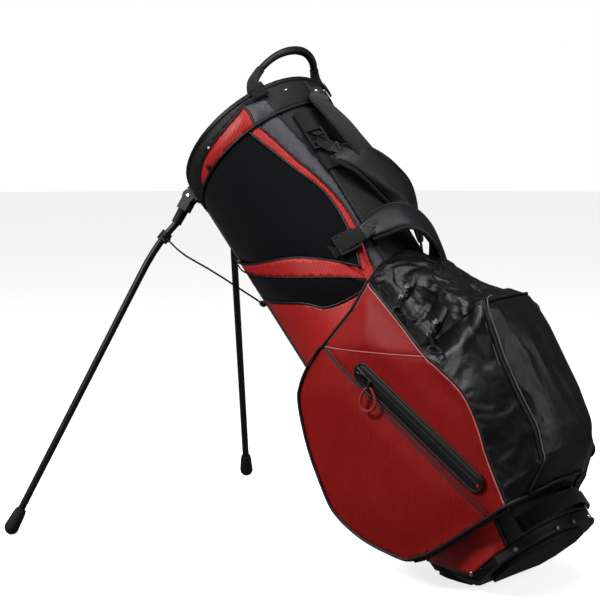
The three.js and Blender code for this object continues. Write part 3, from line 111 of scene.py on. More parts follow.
# Side pocket outline on its face, [x, z] from the foot of its rear edge round the front
POCKET_FRONT = [(125, 53), (66, 58), (-19, 66), (-57, 76), (-77, 87), (-119, 145), (-139, 204), (-132, 256),
                (-117, 311), (-91, 367), (-72, 386), (-44, 399), (-4, 409), (1, 408)]
POCKET_FACE = 152
ZIP_FROM, ZIP_TO = (39, 340), (108, 98)
REAR_HALF = 108
REAR_TOP = 308
UPPER_TOP = 424


# Geometry helpers
def smoothstep(x, low, high):
    t = np.clip((np.asarray(x, float) - low) / (high - low), 0, 1)
    return t * t * (3 - 2 * t)


def mm(metres):
    """One of the panel's sizes in millimetres, clear of its single precision."""
    return round(metres * 1000, 3)


def to_row(points):
    """Bag millimetres to row metres."""
    p = np.asarray(points, float)
    x = p[..., 0] - KINK_X
    along = -p[..., 2] * math.sin(LEAN) + x * math.cos(LEAN) + TOE_LENGTH / 2
    height = p[..., 2] * math.cos(LEAN) + x * math.sin(LEAN)
    return np.stack([along, p[..., 1], height], -1) / 1000


RIM_ANGLES = np.array([math.atan2(y, x) for x, y in TRAY_RIM[:-1]] + [math.pi])
RIM_RADII = np.array([math.hypot(x, y) for x, y in TRAY_RIM])


def skin(phi, z, out=0.0):
    """Points on the tube's skin, out millimetres proud of it."""
    a = np.radians(np.asarray(phi, float))
    z = np.asarray(z, float)
    up = np.clip(z / MOUTH_Z, 0, 1)
    rx = WAIST_RX + (MOUTH_RX - WAIST_RX) * up
    ry = WAIST_RY + (MOUTH_RY - WAIST_RY) * up
    oval = rx * ry / np.hypot(ry * np.cos(a), rx * np.sin(a))
    blend = smoothstep(z, TRAY_Z / 2, OVAL_FROM_Z)
    turn = np.abs(np.arctan2(np.sin(a), np.cos(a)))
    foot = np.interp(turn, RIM_ANGLES, RIM_RADII)
    radius = foot * (1 - blend) + oval * blend + out
    return np.stack(np.broadcast_arrays(radius * np.cos(a), -radius * np.sin(a), z), -1)


def on_tube(flat, out):
    """A flat run or patch of the body laid on the tube."""
    return skin(flat[:, 0] / PHI_MM, flat[:, 1], out)


def mirrored(points):
    return np.asarray(points, float) * (1, -1, 1)


SIDES = (("near", np.asarray), ("far", mirrored))


def mouth_z(x, below=0):
    return MOUTH_Z - below + MOUTH_TILT * np.asarray(x, float) / MOUTH_RX


def mouth_at(phi, below=0):
    """Height of the mouth's plane over a place on the skin."""
    return mouth_z(skin(phi, MOUTH_Z)[..., 0], below)


def rim_z(x):
    """Height of the tray's rim at x."""
    x = np.asarray(x, float)
    front = RIM_LOW_Z + (RIM_LOW_X - x) * (RIM_TOE_Z - RIM_LOW_Z) / (RIM_LOW_X - RIM_TOE_X)
    back = RIM_LOW_Z + (x - RIM_LOW_X) * (RIM_BACK_Z - RIM_LOW_Z) / (WAIST_RX - RIM_LOW_X)
    return np.where(x < RIM_LOW_X, front, back)


def smooth_line(points, step):
    """A smooth run through points, resampled at about one step."""
    p = np.asarray(points, float)
    p = np.vstack([2 * p[0] - p[1], p, 2 * p[-1] - p[-2]])
    knots = [p[1]]
    for a, b, c, d in zip(p[:-3], p[1:-2], p[2:-1], p[3:]):
        t = np.linspace(0, 1, 13)[1:, None]
        knots.extend(0.5 * (2 * b + (c - a) * t + (2 * a - 5 * b + 4 * c - d) * t**2
                            + (3 * b - a - 3 * c + d) * t**3))
    knots = np.array(knots)
    away = np.concatenate([[0], np.cumsum(np.linalg.norm(np.diff(knots, axis=0), axis=1))])
    count = max(2, int(round(away[-1] / step)) + 1)
    at = np.linspace(0, away[-1], count)
    return np.stack([np.interp(at, away, knots[:, k]) for k in range(knots.shape[1])], -1)


def straight_line(points, step):
    """The corners of a run kept, with points added between them."""
    p = [np.asarray(q, float) for q in points]
    run = [p[0]]
    for a, b in zip(p, p[1:]):
        count = max(1, int(round(np.linalg.norm(b - a) / step)))
        run.extend(a + (b - a) * k / count for k in range(1, count + 1))
    return np.array(run)


def make_mesh(name, points, faces, uvs):
    mesh = bpy.data.meshes.new(name)
    mesh.from_pydata([tuple(p) for p in to_row(points)], [], faces)
    layer = mesh.uv_layers.new(name="UVMap")
    flat = np.array([c for face in uvs for c in face], np.float32) / 1000
    layer.data.foreach_set("uv", flat.ravel())
    mesh.validate()
    return mesh


def outward(mesh):
    """Merges doubles and turns the faces out."""
    bm = bmesh.new()
    bm.from_mesh(mesh)
    bmesh.ops.remove_doubles(bm, verts=bm.verts, dist=1e-6)
    bmesh.ops.recalc_face_normals(bm, faces=bm.faces)
    bm.to_mesh(mesh)
    bm.free()


def smooth_shade(mesh, angle=40):
    mesh.shade_smooth()
    mesh.set_sharp_from_angle(angle=math.radians(angle))


def finish_piece(obj, material, body="bag", replaces=()):
    """Gives a piece its material, its body and what it stands for."""
    obj.data.materials.clear()
    obj.data.materials.append(material)
    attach(obj, body)
    if replaces:
        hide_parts(*replaces)
    return obj


def add_object(name, mesh):
    obj = bpy.data.objects.new(name, mesh)
    bpy.context.scene.collection.objects.link(obj)
    return obj


def add_modifier(obj, kind, **settings):
    modifier = obj.modifiers.new(kind.title(), kind)
    for key, value in settings.items():
        setattr(modifier, key, value)
    if kind == "SUBSURF":
        modifier.render_levels = modifier.levels
    return modifier


def applied(obj):
    """The object with its modifiers made part of its mesh."""
    bpy.context.view_layer.update()
    done = bpy.data.meshes.new_from_object(obj.evaluated_get(bpy.context.evaluated_depsgraph_get()))
    done.name = obj.name
    obj.modifiers.clear()
    obj.data = done
    return obj


def grid_faces(rows, count, wrap, caps=False):
    """Faces and corner numbers of a grid of rows x count points; wrap closes each row into a ring."""
    faces, corners = [], []
    for i in range(rows - 1):
        for j in range(count if wrap else count - 1):
            k = (j + 1) % count
            faces.append((i * count + j, i * count + k, (i + 1) * count + k, (i + 1) * count + j))
            corners.append(((i, j), (i, j + 1), (i + 1, j + 1), (i + 1, j)))
    if caps:
        for i in (0, rows - 1):
            faces.append(tuple(i * count + j for j in range(count)))
            corners.append(tuple((i, j) for j in range(count)))
    return faces, corners


def grid_piece(name, grid, wrap=False, caps=False):
    """A mesh from a grid of points, with a map in millimetres along and across it."""
    grid = np.asarray(grid, float)
    rows, count = grid.shape[:2]
    faces, corners = grid_faces(rows, count, wrap, caps)
    middle = grid[rows // 2]
    ring = np.vstack([middle, middle[:1]])
    across = np.concatenate([[0], np.cumsum(np.linalg.norm(np.diff(ring, axis=0), axis=1))])
    steps = np.linalg.norm(np.diff(grid, axis=0), axis=2).mean(1)
    along = np.concatenate([[0], np.cumsum(steps)])
    uvs = [[(along[i], across[j]) for i, j in face] for face in corners]
    mesh = make_mesh(name, grid.reshape(-1, 3), faces, uvs)
    if wrap:
        outward(mesh)
    smooth_shade(mesh, 50)
    return add_object(name, mesh)


def path_frames(path, across=None):
    """Directions along, beside and above each point of a path; across is a direction or gives one."""
    path = np.asarray(path, float)
    along = np.gradient(path, axis=0)
    along /= np.linalg.norm(along, axis=1)[:, None]
    side = np.zeros_like(path)
    hold = np.array([0.31, 0.9, 0.23])
    for i, a in enumerate(along):
        share = i / (len(path) - 1)
        wanted = hold if across is None else np.asarray(across(share) if callable(across) else across, float)
        beside = wanted - a * wanted.dot(a)
        side[i] = beside / np.linalg.norm(beside)
        hold = side[i]
    return along, side, np.cross(along, side)


def tube(name, path, radius, sides=12, closed=False):
    """A round tube along a path, with rounded ends; a closed one is a loop."""
    path = np.asarray(path, float)
    along, side, up = path_frames(path)
    radii = np.broadcast_to(np.asarray(radius, float), (len(path),))
    turn = np.linspace(0, 2 * math.pi, sides, endpoint=False)
    rings = [p + r * (np.outer(np.cos(turn), s) + np.outer(np.sin(turn), u))
             for p, r, s, u in zip(path, radii, side, up)]
    if closed:
        rings.append(rings[0])
    else:
        first = path[0] - along[0] * radii[0] * 0.4
        last = path[-1] + along[-1] * radii[-1] * 0.4
        rings = [first + (rings[0] - path[0]) * 0.55, *rings, last + (rings[-1] - path[-1]) * 0.55]
    return grid_piece(name, rings, wrap=True, caps=not closed)


def strap(name, path, across, width, thick, corner=2):
    """A flat band along a path with rounded edges."""
    path = np.asarray(path, float)
    _, side, up = path_frames(path, across)
    span = np.linspace(0, 1, len(path))
    widths = width(span) if callable(width) else np.full(len(path), float(width))
    thicks = thick(span) if callable(thick) else np.full(len(path), float(thick))
    rings = []
    for p, s, u, w, t in zip(path, side, up, widths, thicks):
        r = min(w, t) * 0.48
        ring = []
        for q, (sx, sy) in enumerate([(1, 1), (-1, 1), (-1, -1), (1, -1)]):
            for k in range(corner + 1):
                a = (q + k / corner) * math.pi / 2
                x = sx * (w / 2 - r) + r * math.cos(a)
                y = sy * (t / 2 - r) + r * math.sin(a)
                ring.append(p + s * x + u * y)
        rings.append(ring)
    return grid_piece(name, rings, wrap=True, caps=True)


def joined(name, objects):
    """Several new pieces as one."""
    bm = bmesh.new()
    bm.loops.layers.uv.new("UVMap")
    for obj in objects:
        bm.from_mesh(obj.data)
        old = obj.data
        bpy.data.objects.remove(obj)
        bpy.data.meshes.remove(old)
    mesh = bpy.data.meshes.new(name)
    bm.to_mesh(mesh)
    bm.free()
    return add_object(name, mesh)


def refined(part, material, width, angle=32):
    """A copy of a rigid node with its edges eased, in place of the faceted one."""
    source = frame["nodes"][part]
    mesh = source.data.copy()
    mesh.materials.clear()
    bm = bmesh.new()
    bm.from_mesh(mesh)
    bmesh.ops.remove_doubles(bm, verts=bm.verts, dist=2e-6)
    bmesh.ops.dissolve_limit(bm, angle_limit=math.radians(0.8), verts=bm.verts, edges=bm.edges)
    bm.to_mesh(mesh)
    bm.free()
    smooth_shade(mesh, angle)
    obj = add_object(part + "_finished", mesh)
    if width:
        add_modifier(obj, "BEVEL", width=width / 1000, segments=2, limit_method="ANGLE",
                     angle_limit=math.radians(angle), harden_normals=True, use_clamp_overlap=True)
    return finish_piece(obj, material, source["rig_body"], [part])


def joined_piece(name, parts, material, angle=60):
    """Several new pieces as one finished piece."""
    obj = joined(name, parts)
    smooth_shade(obj.data, angle)
    return finish_piece(obj, material)


def band(name, path, across, width, thick, material, replaces=()):
    """A finished flat band, such as webbing."""
    obj = strap(name, path, across, width, thick, 3)
    smooth_shade(obj.data, 45)
    return finish_piece(obj, material, replaces=replaces)


# Cloth cut along seams
def flat_patches(outline, seams, seeds, spacing):
    """Cuts a flat outline into zones along seam runs, and gives the points and triangles at each seed."""
    points, edges = [], []

    def lay(run, closed=False):
        start = len(points)
        points.extend(map(tuple, run))
        count = len(run)
        edges.extend((start + k, start + k + 1) for k in range(count - 1))
        if closed:
            edges.append((start + count - 1, start))

    lay(outline, True)
    for run in seams:
        lay(run)
    rim = kdtree.KDTree(len(points))
    for i, (u, v) in enumerate(points):
        rim.insert((u, v, 0), i)
    rim.balance()
    low = np.min(outline, axis=0)
    high = np.max(outline, axis=0)
    tall = spacing * math.sqrt(3) / 2
    for row in range(int((high[1] - low[1]) / tall) + 1):
        v = low[1] + row * tall
        shift = spacing / 2 * (row % 2)
        for col in range(int((high[0] - low[0]) / spacing) + 1):
            u = low[0] + shift + col * spacing
            if rim.find((u, v, 0))[2] > spacing * 0.55:
                points.append((u, v))
    out = delaunay_2d_cdt([Vector(p) for p in points], edges, [], 0, 1e-5)
    verts, made_edges, faces, _, from_edges, _ = out
    fixed = {tuple(sorted(e)) for e, source in zip(made_edges, from_edges) if source}
    beside = {}
    for f, face in enumerate(faces):
        for a, b in zip(face, face[1:] + face[:1]):
            beside.setdefault(tuple(sorted((a, b))), []).append(f)
    flat = np.array([tuple(v) for v in verts])
    tri = np.array(faces)
    zones = {}
    for name, seed in seeds.items():
        a, b, c = flat[tri[:, 0]], flat[tri[:, 1]], flat[tri[:, 2]]
        s = np.array(seed, float)

        def turn(p, q):
            return (q[:, 0] - p[:, 0]) * (s[1] - p[:, 1]) - (q[:, 1] - p[:, 1]) * (s[0] - p[:, 0])

        signs = np.stack([turn(a, b), turn(b, c), turn(c, a)])
        inside = np.where((signs >= 0).all(0) | (signs <= 0).all(0))[0]
        if not len(inside):
            raise RuntimeError(f"zone {name}: its seed is outside the outline")
        todo, zone = [int(inside[0])], {int(inside[0])}
        while todo:
            face = faces[todo.pop()]
            for p, q in zip(face, face[1:] + face[:1]):
                key = tuple(sorted((p, q)))
                if key in fixed:
                    continue
                for other in beside[key]:
                    if other not in zone:
                        zone.add(other)
                        todo.append(other)
        used = sorted({v for f in zone for v in faces[f]})
        number = {v: i for i, v in enumerate(used)}
        zones[name] = (flat[used], [tuple(number[v] for v in faces[f]) for f in sorted(zone)])
    return zones


def distance_to(points, runs):
    """Distance from each flat point to the nearest of some runs."""
    far = np.full(len(points), 1e9)
    for run in runs:
        a, b = np.asarray(run[:-1], float), np.asarray(run[1:], float)
        d = b - a
        size = np.maximum((d**2).sum(1), 1e-9)
        for start in range(0, len(points), 2000):
            p = points[start:start + 2000, None, :]
            t = np.clip(((p - a) * d).sum(2) / size, 0, 1)
            gap = np.linalg.norm(p - (a + d * t[..., None]), axis=2).min(1)
            far[start:start + 2000] = np.minimum(far[start:start + 2000], gap)
    return far


def patch_piece(name, flat, faces, points, thick):
    """A sheet of cloth from a flat zone laid on its points, with the flat zone as its map."""
    uvs = [[tuple(flat[v]) for v in face] for face in faces]
    mesh = make_mesh(name, points, faces, uvs)
    centre = points.mean(0) * (0, 0, 1)
    bm = bmesh.new()
    bm.from_mesh(mesh)
    bm.normal_update()
    middle = Vector(to_row(centre))
    out = sum(f.normal.dot(f.calc_center_median() - middle) * f.calc_area() for f in bm.faces)
    if out < 0:
        bmesh.ops.reverse_faces(bm, faces=bm.faces)
    bm.to_mesh(mesh)
    bm.free()
    mesh.shade_smooth()
    obj = add_object(name, mesh)
    add_modifier(obj, "SOLIDIFY", thickness=thick / 1000, offset=-1, use_even_offset=False)
    return obj


# Materials
def hex_colour(code, alpha=1.0):
    """An sRGB hex colour as linear values."""
    parts = [int(code[i:i + 2], 16) / 255 for i in (1, 3, 5)]
    return (*(c / 12.92 if c <= 0.04045 else ((c + 0.055) / 1.055) ** 2.4 for c in parts), alpha)


def node(tree, kind, settings=(), values=(), links=()):
    """Adds a node with its settings, socket values and incoming links."""
    made = tree.nodes.new(kind)
    for key, value in dict(settings).items():
        setattr(made, key, value)
    for key, value in dict(values).items():
        made.inputs[key].default_value = value
    for key, socket in dict(links).items():
        tree.links.new(socket, made.inputs[key])
    return made


def new_material(name, colour, roughness, **sockets):
    """A material, its tree and shader, its own map and its object coordinates."""
    material = bpy.data.materials.new(name)
    material.use_nodes = True
    tree = material.node_tree
    shader = tree.nodes["Principled BSDF"]
    shader.inputs["Base Color"].default_value = hex_colour(colour)
    shader.inputs["Roughness"].default_value = roughness
    for key, value in sockets.items():
        shader.inputs[key.replace("_", " ")].default_value = value
    material.diffuse_color = hex_colour(colour)
    place = node(tree, "ShaderNodeTexCoord")
    return material, tree, shader, place.outputs["UV"], place.outputs["Object"]


def vary_colour(tree, shader, low, high, factor):
    """Runs the shader's colour between two by a factor."""
    mix = node(tree, "ShaderNodeMix", {"data_type": "RGBA"}, links={"Factor": factor})
    for name, code in (("A", low), ("B", high)):
        next(s for s in mix.inputs if s.name == name and s.type == "RGBA").default_value = hex_colour(code)
    tree.links.new(next(s for s in mix.outputs if s.type == "RGBA"), shader.inputs["Base Color"])


def vary_roughness(tree, shader, value, low, high, smooth, rough):
    """Runs the shader's roughness from smooth to rough as a value goes from low to high."""
    tree.links.new(ranged(tree, value, low, high, smooth, rough), shader.inputs["Roughness"])


def ranged(tree, value, low, high, to_low, to_high):
    spread = node(tree, "ShaderNodeMapRange", links={"Value": value},
                  values={"From Min": low, "From Max": high, "To Min": to_low, "To Max": to_high})
    return spread.outputs["Result"]


def summed(tree, a, b, share=1.0):
    """a plus a share of b."""
    added = node(tree, "ShaderNodeMath", {"operation": "MULTIPLY_ADD"}, {1: share}, {0: b, 2: a})
    return added.outputs["Value"]


def noise_height(tree, coordinates, size_mm, detail=2.0, roughness=0.5):
    """Noise whose lumps are about size_mm across."""
    made = node(tree, "ShaderNodeTexNoise", {"noise_dimensions": "3D"},
                {"Scale": 500 / size_mm, "Detail": detail, "Roughness": roughness}, {"Vector": coordinates})
    return made.outputs["Fac"]


def ribs(tree, coordinates, pitch_mm, turn_deg):
    """Parallel ribs at a pitch, turned in their plane."""
    turned = node(tree, "ShaderNodeMapping", values={"Rotation": (0, 0, math.radians(turn_deg))},
                  links={"Vector": coordinates})
    wave = node(tree, "ShaderNodeTexWave",
                {"wave_type": "BANDS", "bands_direction": "X", "wave_profile": "SIN"},
                {"Scale": 100 * math.pi / pitch_mm, "Distortion": 0.0}, {"Vector": turned.outputs["Vector"]})
    return wave.outputs["Fac"]


def raise_surface(tree, shader, height, depth_mm):
    """Bump of a real depth on the shader."""
    bump = node(tree, "ShaderNodeBump", values={"Strength": 1.0, "Distance": depth_mm / 1000},
                links={"Height": height})
    tree.links.new(bump.outputs["Normal"], shader.inputs["Normal"])


def cloth_crinkle(tree, coordinates, size_mm):
    """Soft creases of two sizes."""
    large = noise_height(tree, coordinates, size_mm, 3.0, 0.45)
    small = noise_height(tree, coordinates, size_mm / 4, 2.0, 0.5)
    return summed(tree, large, small, 0.35)


def coated_ripstop(name, colour, light, rib_turn):
    """Coated polyester with a raised diagonal rib, pressed on calenders: satin, ribs about 5 mm apart."""
    material, tree, shader, uv, own = new_material(name, colour, 0.44, Specular_IOR_Level=0.34)
    rib = ribs(tree, uv, 4.6, rib_turn)
    fine = ribs(tree, uv, 1.5, rib_turn - 90)
    slub = noise_height(tree, uv, 3.2)
    crease = cloth_crinkle(tree, own, 60)
    lift = ranged(tree, summed(tree, rib, slub, 0.7), 0.5, 1.5, 0.0, 1.0)
    tone = summed(tree, ranged(tree, crease, 0.3, 0.9, 0.0, 0.45), lift, 0.4)
    vary_colour(tree, shader, colour, light, tone)
    vary_roughness(tree, shader, crease, 0.3, 1.0, 0.38, 0.54)
    height = summed(tree, summed(tree, ranged(tree, crease, 0, 1, 0, 1.4), rib, 0.13), fine, 0.05)
    raise_surface(tree, shader, height, 1.0)
    return material


def spacer_mesh(name, colour, light):
    """Knitted spacer mesh, matt, with holes drawn 3 mm apart, which is coarser than they are, to show."""
    material, tree, shader, uv, own = new_material(name, colour, 0.92, Sheen_Weight=0.04,
                                                   Specular_IOR_Level=0.12)
    turned = node(tree, "ShaderNodeMapping", values={"Rotation": (0, 0, math.radians(45))},
                  links={"Vector": uv})
    cells = node(tree, "ShaderNodeTexVoronoi", {"voronoi_dimensions": "2D", "feature": "F1"},
                 {"Scale": 1000 / 3.0, "Randomness": 0.0}, {"Vector": turned.outputs["Vector"]})
    hole = ranged(tree, cells.outputs["Distance"], 0.18, 0.42, 0.0, 1.0)
    crease = cloth_crinkle(tree, own, 90)
    tone = summed(tree, ranged(tree, crease, 0.3, 0.9, 0.0, 0.4), hole, 0.4)
    vary_colour(tree, shader, colour, light, tone)
    raise_surface(tree, shader, summed(tree, crease, hole, 0.35), 0.9)
    return material


def coated_cloth(name, colour, light, roughness, crease_mm, depth_mm):
    """Coated woven polyester: a fine weave under a thin film, with soft creases that catch the light."""
    material, tree, shader, uv, own = new_material(name, colour, roughness, Specular_IOR_Level=0.5)
    crease = cloth_crinkle(tree, own, crease_mm)
    weave = summed(tree, ribs(tree, uv, 0.9, 0), ribs(tree, uv, 0.9, 90))
    vary_colour(tree, shader, colour, light, ranged(tree, crease, 0.35, 0.95, 0.0, 1.0))
    vary_roughness(tree, shader, crease, 0.3, 1.0, roughness - 0.06, roughness + 0.1)
    raise_surface(tree, shader, summed(tree, crease, weave, 0.05 / depth_mm), depth_mm)
    return material


def webbing(name, colour, light, pitch_mm=2.0):
    """Woven nylon webbing: matt, with close ribs across its run and a herringbone within them."""
    material, tree, shader, uv, _ = new_material(name, colour, 0.8, Sheen_Weight=0.2, Specular_IOR_Level=0.3)
    across = ribs(tree, uv, pitch_mm, 0)
    bone = ribs(tree, uv, pitch_mm * 0.8, 55)
    vary_colour(tree, shader, colour, light, summed(tree, ranged(tree, across, 0, 1, 0.0, 0.6), bone, 0.3))
    raise_surface(tree, shader, summed(tree, across, bone, 0.4), 0.35)
    return material


def moulded(name, colour, light, roughness, grain_mm=0.8, depth_mm=0.05, **sockets):
    """Injection-moulded nylon: fine spark-eroded grain, with dull patches from handling."""
    material, tree, shader, _, own = new_material(name, colour, roughness, **sockets)
    patch = noise_height(tree, own, 35, 3.0)
    vary_colour(tree, shader, colour, light, ranged(tree, patch, 0.4, 0.8, 0.0, 1.0))
    vary_roughness(tree, shader, patch, 0.3, 0.8, roughness - 0.06, roughness + 0.08)
    raise_surface(tree, shader, noise_height(tree, own, grain_mm, 1.0), depth_mm)
    return material


def metal(name, colour, roughness):
    """Drawn or plated steel: bright, with faint marks along its length."""
    material, tree, shader, _, own = new_material(name, colour, roughness, Metallic=1.0)
    grain = noise_height(tree, own, 0.6, 2.0, 0.6)
    vary_roughness(tree, shader, grain, 0.3, 0.8, roughness - 0.05, roughness + 0.12)
    raise_surface(tree, shader, grain, 0.02)
    return material


def zip_teeth_finish(name, colour, light):
    """Reverse coil zip under its water-tight film: a narrow ribbed line with a soft gloss."""
    material, tree, shader, uv, _ = new_material(name, colour, 0.34, Specular_IOR_Level=0.55)
    teeth = ribs(tree, uv, 1.6, 0)
    vary_colour(tree, shader, colour, light, teeth)
    raise_surface(tree, shader, teeth, 0.25)
    return material


def hex_of(colour, share=1.0):
    """The sRGB code of a linear colour, at a share of its brightness."""
    code = "#"
    for part in colour:
        c = share * part
        c = c * 12.92 if c <= 0.0031308 else 1.055 * c ** (1 / 2.4) - 0.055
        code += f"{round(255 * c):02x}"
    return code


def make_materials(colours):
    """Every finish, from the panel's main colours."""
    red = hex_of(colours.red)
    return {
        "red": coated_ripstop("coated_ripstop_red", red, "#d83028", 52),
        # The tube's red is the same cloth's red at 0.74 of its brightness with a darker light tone: painted
        # shade
        "red_tube": coated_ripstop("coated_ripstop_red_tube", hex_of(colours.red, 0.74), "#c82c26", 128),
        "mesh": spacer_mesh("knitted_spacer_mesh", "#070709", "#0f1013"),
        "charcoal": coated_cloth("satin_vinyl_charcoal", hex_of(colours.charcoal), "#43434b", 0.42, 70, 0.5),
        "gloss": coated_cloth("pu_coated_polyester_black", hex_of(colours.black), "#09090b", 0.3, 34, 0.6),
        "matt": coated_cloth("woven_polyester_black", "#050506", "#0a0a0c", 0.6, 60, 0.6),
        "lining": coated_cloth("tube_lining_cloth", "#141416", "#1f1f22", 0.75, 50, 0.5),
        "divider": coated_cloth("brushed_divider_fleece", "#121214", "#1c1c20", 0.9, 45, 0.6),
        "webbing": webbing("nylon_webbing_black", "#070708", "#141416"),
        "ribbed": webbing("ribbed_handle_webbing", "#060607", "#151518", 4.0),
        "moulding": moulded("moulded_nylon_black", "#0a0a0b", "#111113", 0.5, Specular_IOR_Level=0.3),
        "rubber": moulded("moulded_rubber_black", "#0c0c0d", "#141415", 0.78, 1.2, 0.08),
        "powder": moulded("powder_coated_tube_black", "#101012", "#17171a", 0.36, 0.5, 0.03),
        "wire": metal("blackened_spring_wire", "#2a2a2c", 0.42),
        "steel": metal("bright_turned_steel", "#c9c9cd", 0.22),
        "nickel": metal("plated_zinc_zip_pull", "#a9abb0", 0.28),
        "zip": zip_teeth_finish("water_tight_zip_coil", "#0a0a0b", "#232326"),
        "tape": coated_cloth("welded_zip_tape_black", "#070708", "#0e0e10", 0.4, 40, 0.3),
        "cord": webbing("braided_cord_black", "#0a0a0b", "#1c1c1f", 1.5),
        "red_cord": webbing("braided_cord_red", "#8e1b1d", "#c2302f", 1.5),
        "piping": coated_cloth("piping_black", "#08080a", "#121214", 0.45, 30, 0.2),
        "red_edge": coated_cloth("red_edge_tape", "#7e1517", "#a92426", 0.5, 30, 0.2),
        "thread": webbing("bonded_thread_black", "#151517", "#26262a", 0.8),
        "grey_thread": webbing("bonded_thread_grey", "#5d5d63", "#8c8c92", 0.8),
        "red_thread": webbing("bonded_thread_red", "#7c1416", "#a3211f", 0.8),
        # Pale red for lines on the side pockets' edges and fold: painted highlight
        "painted_highlight_red": coated_cloth("red_edge_fold", "#c0504e", "#d98a86", 0.5, 30, 0.2),
        # Pale grey for thin lines beside the ball pocket's piping: painted highlight
        "painted_highlight_grey": coated_cloth("grey_edge_fold", "#4b4b50", "#77777c", 0.4, 30, 0.2),
        "gunmetal": metal("gunmetal_zip_slider", "#3a3b3e", 0.3),
        "pad": coated_cloth("pad_cloth_black", "#060609", "#101016", 0.46, 42, 0.8),
        "handle": moulded("handle_rubber_sleeve", "#08080a", "#121214", 0.42, 1.0, 0.06),
        "white": moulded("snap_cap_white", "#d8d8dc", "#eeeeee", 0.4),
    }


# Body cloth
PHI_MM = 2.1  # width of one degree round the tube


def flat_run(points):
    return [(phi * PHI_MM, z) for phi, z in points]


def rim_between(low, top, step):
    """The closed outline of a flat band between its lower and its upper edge."""
    sides = (low, [low[-1], top[-1]], top[::-1], [top[0], low[0]])
    return np.vstack([straight_line(side, step)[:-1] for side in sides])


def zone_seeds(zones):
    return {key: (zone[0][0] * PHI_MM, zone[0][1]) for key, zone in zones.items()}
def body_zones():
    """The half tube cut along its seams, with the flat runs of the seams."""
    step = 6
    lines = {key: smooth_line(flat_run(run), step) for key, run in BODY_SEAMS.items()}
    front = [(FRONT_SEAM_PHI * PHI_MM, z) for z in range(-60, 900, 60)]
    lines["front"] = straight_line(front, step)
    top = [(phi * PHI_MM, mouth_at(phi, COLLAR_HEIGHT - 6)) for phi in range(0, 181, 6)]
    low = [(phi * PHI_MM, float(rim_z(skin(phi, TRAY_Z)[0])) + 1) for phi in range(0, 181, 4)]
    return rim_between(low, top, step), lines


# Each zone of the half tube: a place inside it, its finish, how proud it stands, over what width, and the
# seams it is sewn down to
BODY_ZONES = {
    "mesh_panel": ((95, 680), "mesh", 3.0, 16, None),
    # The red zones of the tube take the darker copy of the red cloth, painted shade
    "stripe": ((46, 690), "red_tube", 1.2, 8, None),
    "charcoal_panel": ((38, 720), "charcoal", 1.2, 14, None),
    "spine_cloth": ((10, 650), "matt", 0.6, 14, None),
    "drinks_band": ((90, 552), "red_tube", 7.0, 18, ("front", "mesh_low", "band_end")),
    "drinks_mesh": ((100, 525), "mesh", 7.0, 18, ("front", "mesh_low", "band_end")),
    "lower_red": ((110, 300), "red_tube", 0.8, 14, None),
    "lower_rear": ((20, 200), "matt", 0.6, 14, None),
    "front_cloth": ((165, 700), "matt", 0.6, 14, None),
}


def clip_run(run, rim):
    """The stretch of a run that is inside the outline, ended on it."""
    edge = list(zip(rim, np.roll(rim, -1, axis=0)))

    def inside(p):
        count = 0
        for a, b in edge:
            if (a[1] > p[1]) != (b[1] > p[1]):
                count += bool(p[0] < (b[0] - a[0]) * (p[1] - a[1]) / (b[1] - a[1]) + a[0])
        return count % 2 == 1

    kept = []
    for a, b in zip(run[:-1], run[1:]):
        ia, ib = inside(a), inside(b)
        if ia and not kept:
            kept.append(tuple(a))
        if ia != ib:
            for p, q in edge:
                hit = intersect_line_line_2d(Vector(a), Vector(b), Vector(p), Vector(q))
                if hit:
                    past = (Vector(b) - Vector(a)).normalized() * (0.4 if ia else -0.4)
                    kept.append(tuple(hit + past))
                    break
        if ib:
            kept.append(tuple(b))
    return np.array(kept)


def make_body_cloth(sizes, mats):
    """The tube's cloth panels on both sides, cut along their seams, with piping and lining."""
    rim, lines = body_zones()
    runs = {key: clip_run(run, rim) for key, run in lines.items()}
    zones = flat_patches(rim, runs.values(), zone_seeds(BODY_ZONES), sizes.cloth_step * 1000)
    outline = np.vstack([rim, rim[:1]])
    for name, (flat, faces) in zones.items():
        _, finish, proud, width, sewn = BODY_ZONES[name]
        held = [outline, *runs.values()] if sewn is None else [runs[k] for k in sewn]
        gap = distance_to(flat, held)
        out = 0.4 + proud * (1 - np.exp(-((gap / width) ** 2)))
        for i, (u, v) in enumerate(flat):
            out[i] += 0.5 * noise.noise((u / 55, v / 80, 3.1)) * min(1, gap[i] / 12)
        points = on_tube(flat, out)
        for side, turned in SIDES:
            obj = patch_piece(f"{side}_{name}", flat, faces, turned(points), 1.6)
            finish_piece(obj, mats[finish])
    for side, _ in SIDES:
        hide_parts(f"{side}_side_panel")
        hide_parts(f"{side}_drinks_pocket")
    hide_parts("spine_panel")
    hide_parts("front_panel")
    for side, turned in SIDES:
        rods = [tube("rod", turned(on_tube(runs[key], out)), radius, 8) for key, radius, out in BODY_PIPING]
        joined_piece(f"{side}_body_piping", rods, mats["piping"])
    make_lining(mats)


# The piping on the body's seams: its radius, and how far out of the tube it lies
BODY_PIPING = [("stripe_front", 1.9, 1.2), ("stripe_rear", 1.5, 1.0), ("spine", 1.2, 0.8),
               ("mesh_low", 1.7, 1.2), ("band_low", 1.2, 7.6), ("front", 2.2, 1.4), ("rear_low", 1.2, 0.8),
               ("band_top", 1.8, 6.4)]


def make_lining(mats):
    """The cloth inside of the tube."""
    phis = np.linspace(0, 360, 97)[:-1]
    rows = []
    foot = 34 + 40 * smoothstep(-np.cos(np.radians(phis)), 0.1, 0.8)
    for t in np.linspace(0, 1, 40):
        top = mouth_at(phis, 40)
        z = foot + (top - foot) * t
        ripple = 0.35 * np.sin(np.radians(phis) * 9 + z / 40)
        rows.append(skin(phis, z, -WALL + 0.6 + ripple))
    obj = grid_piece("tube_lining", rows, wrap=True)
    finish_piece(obj, mats["lining"])


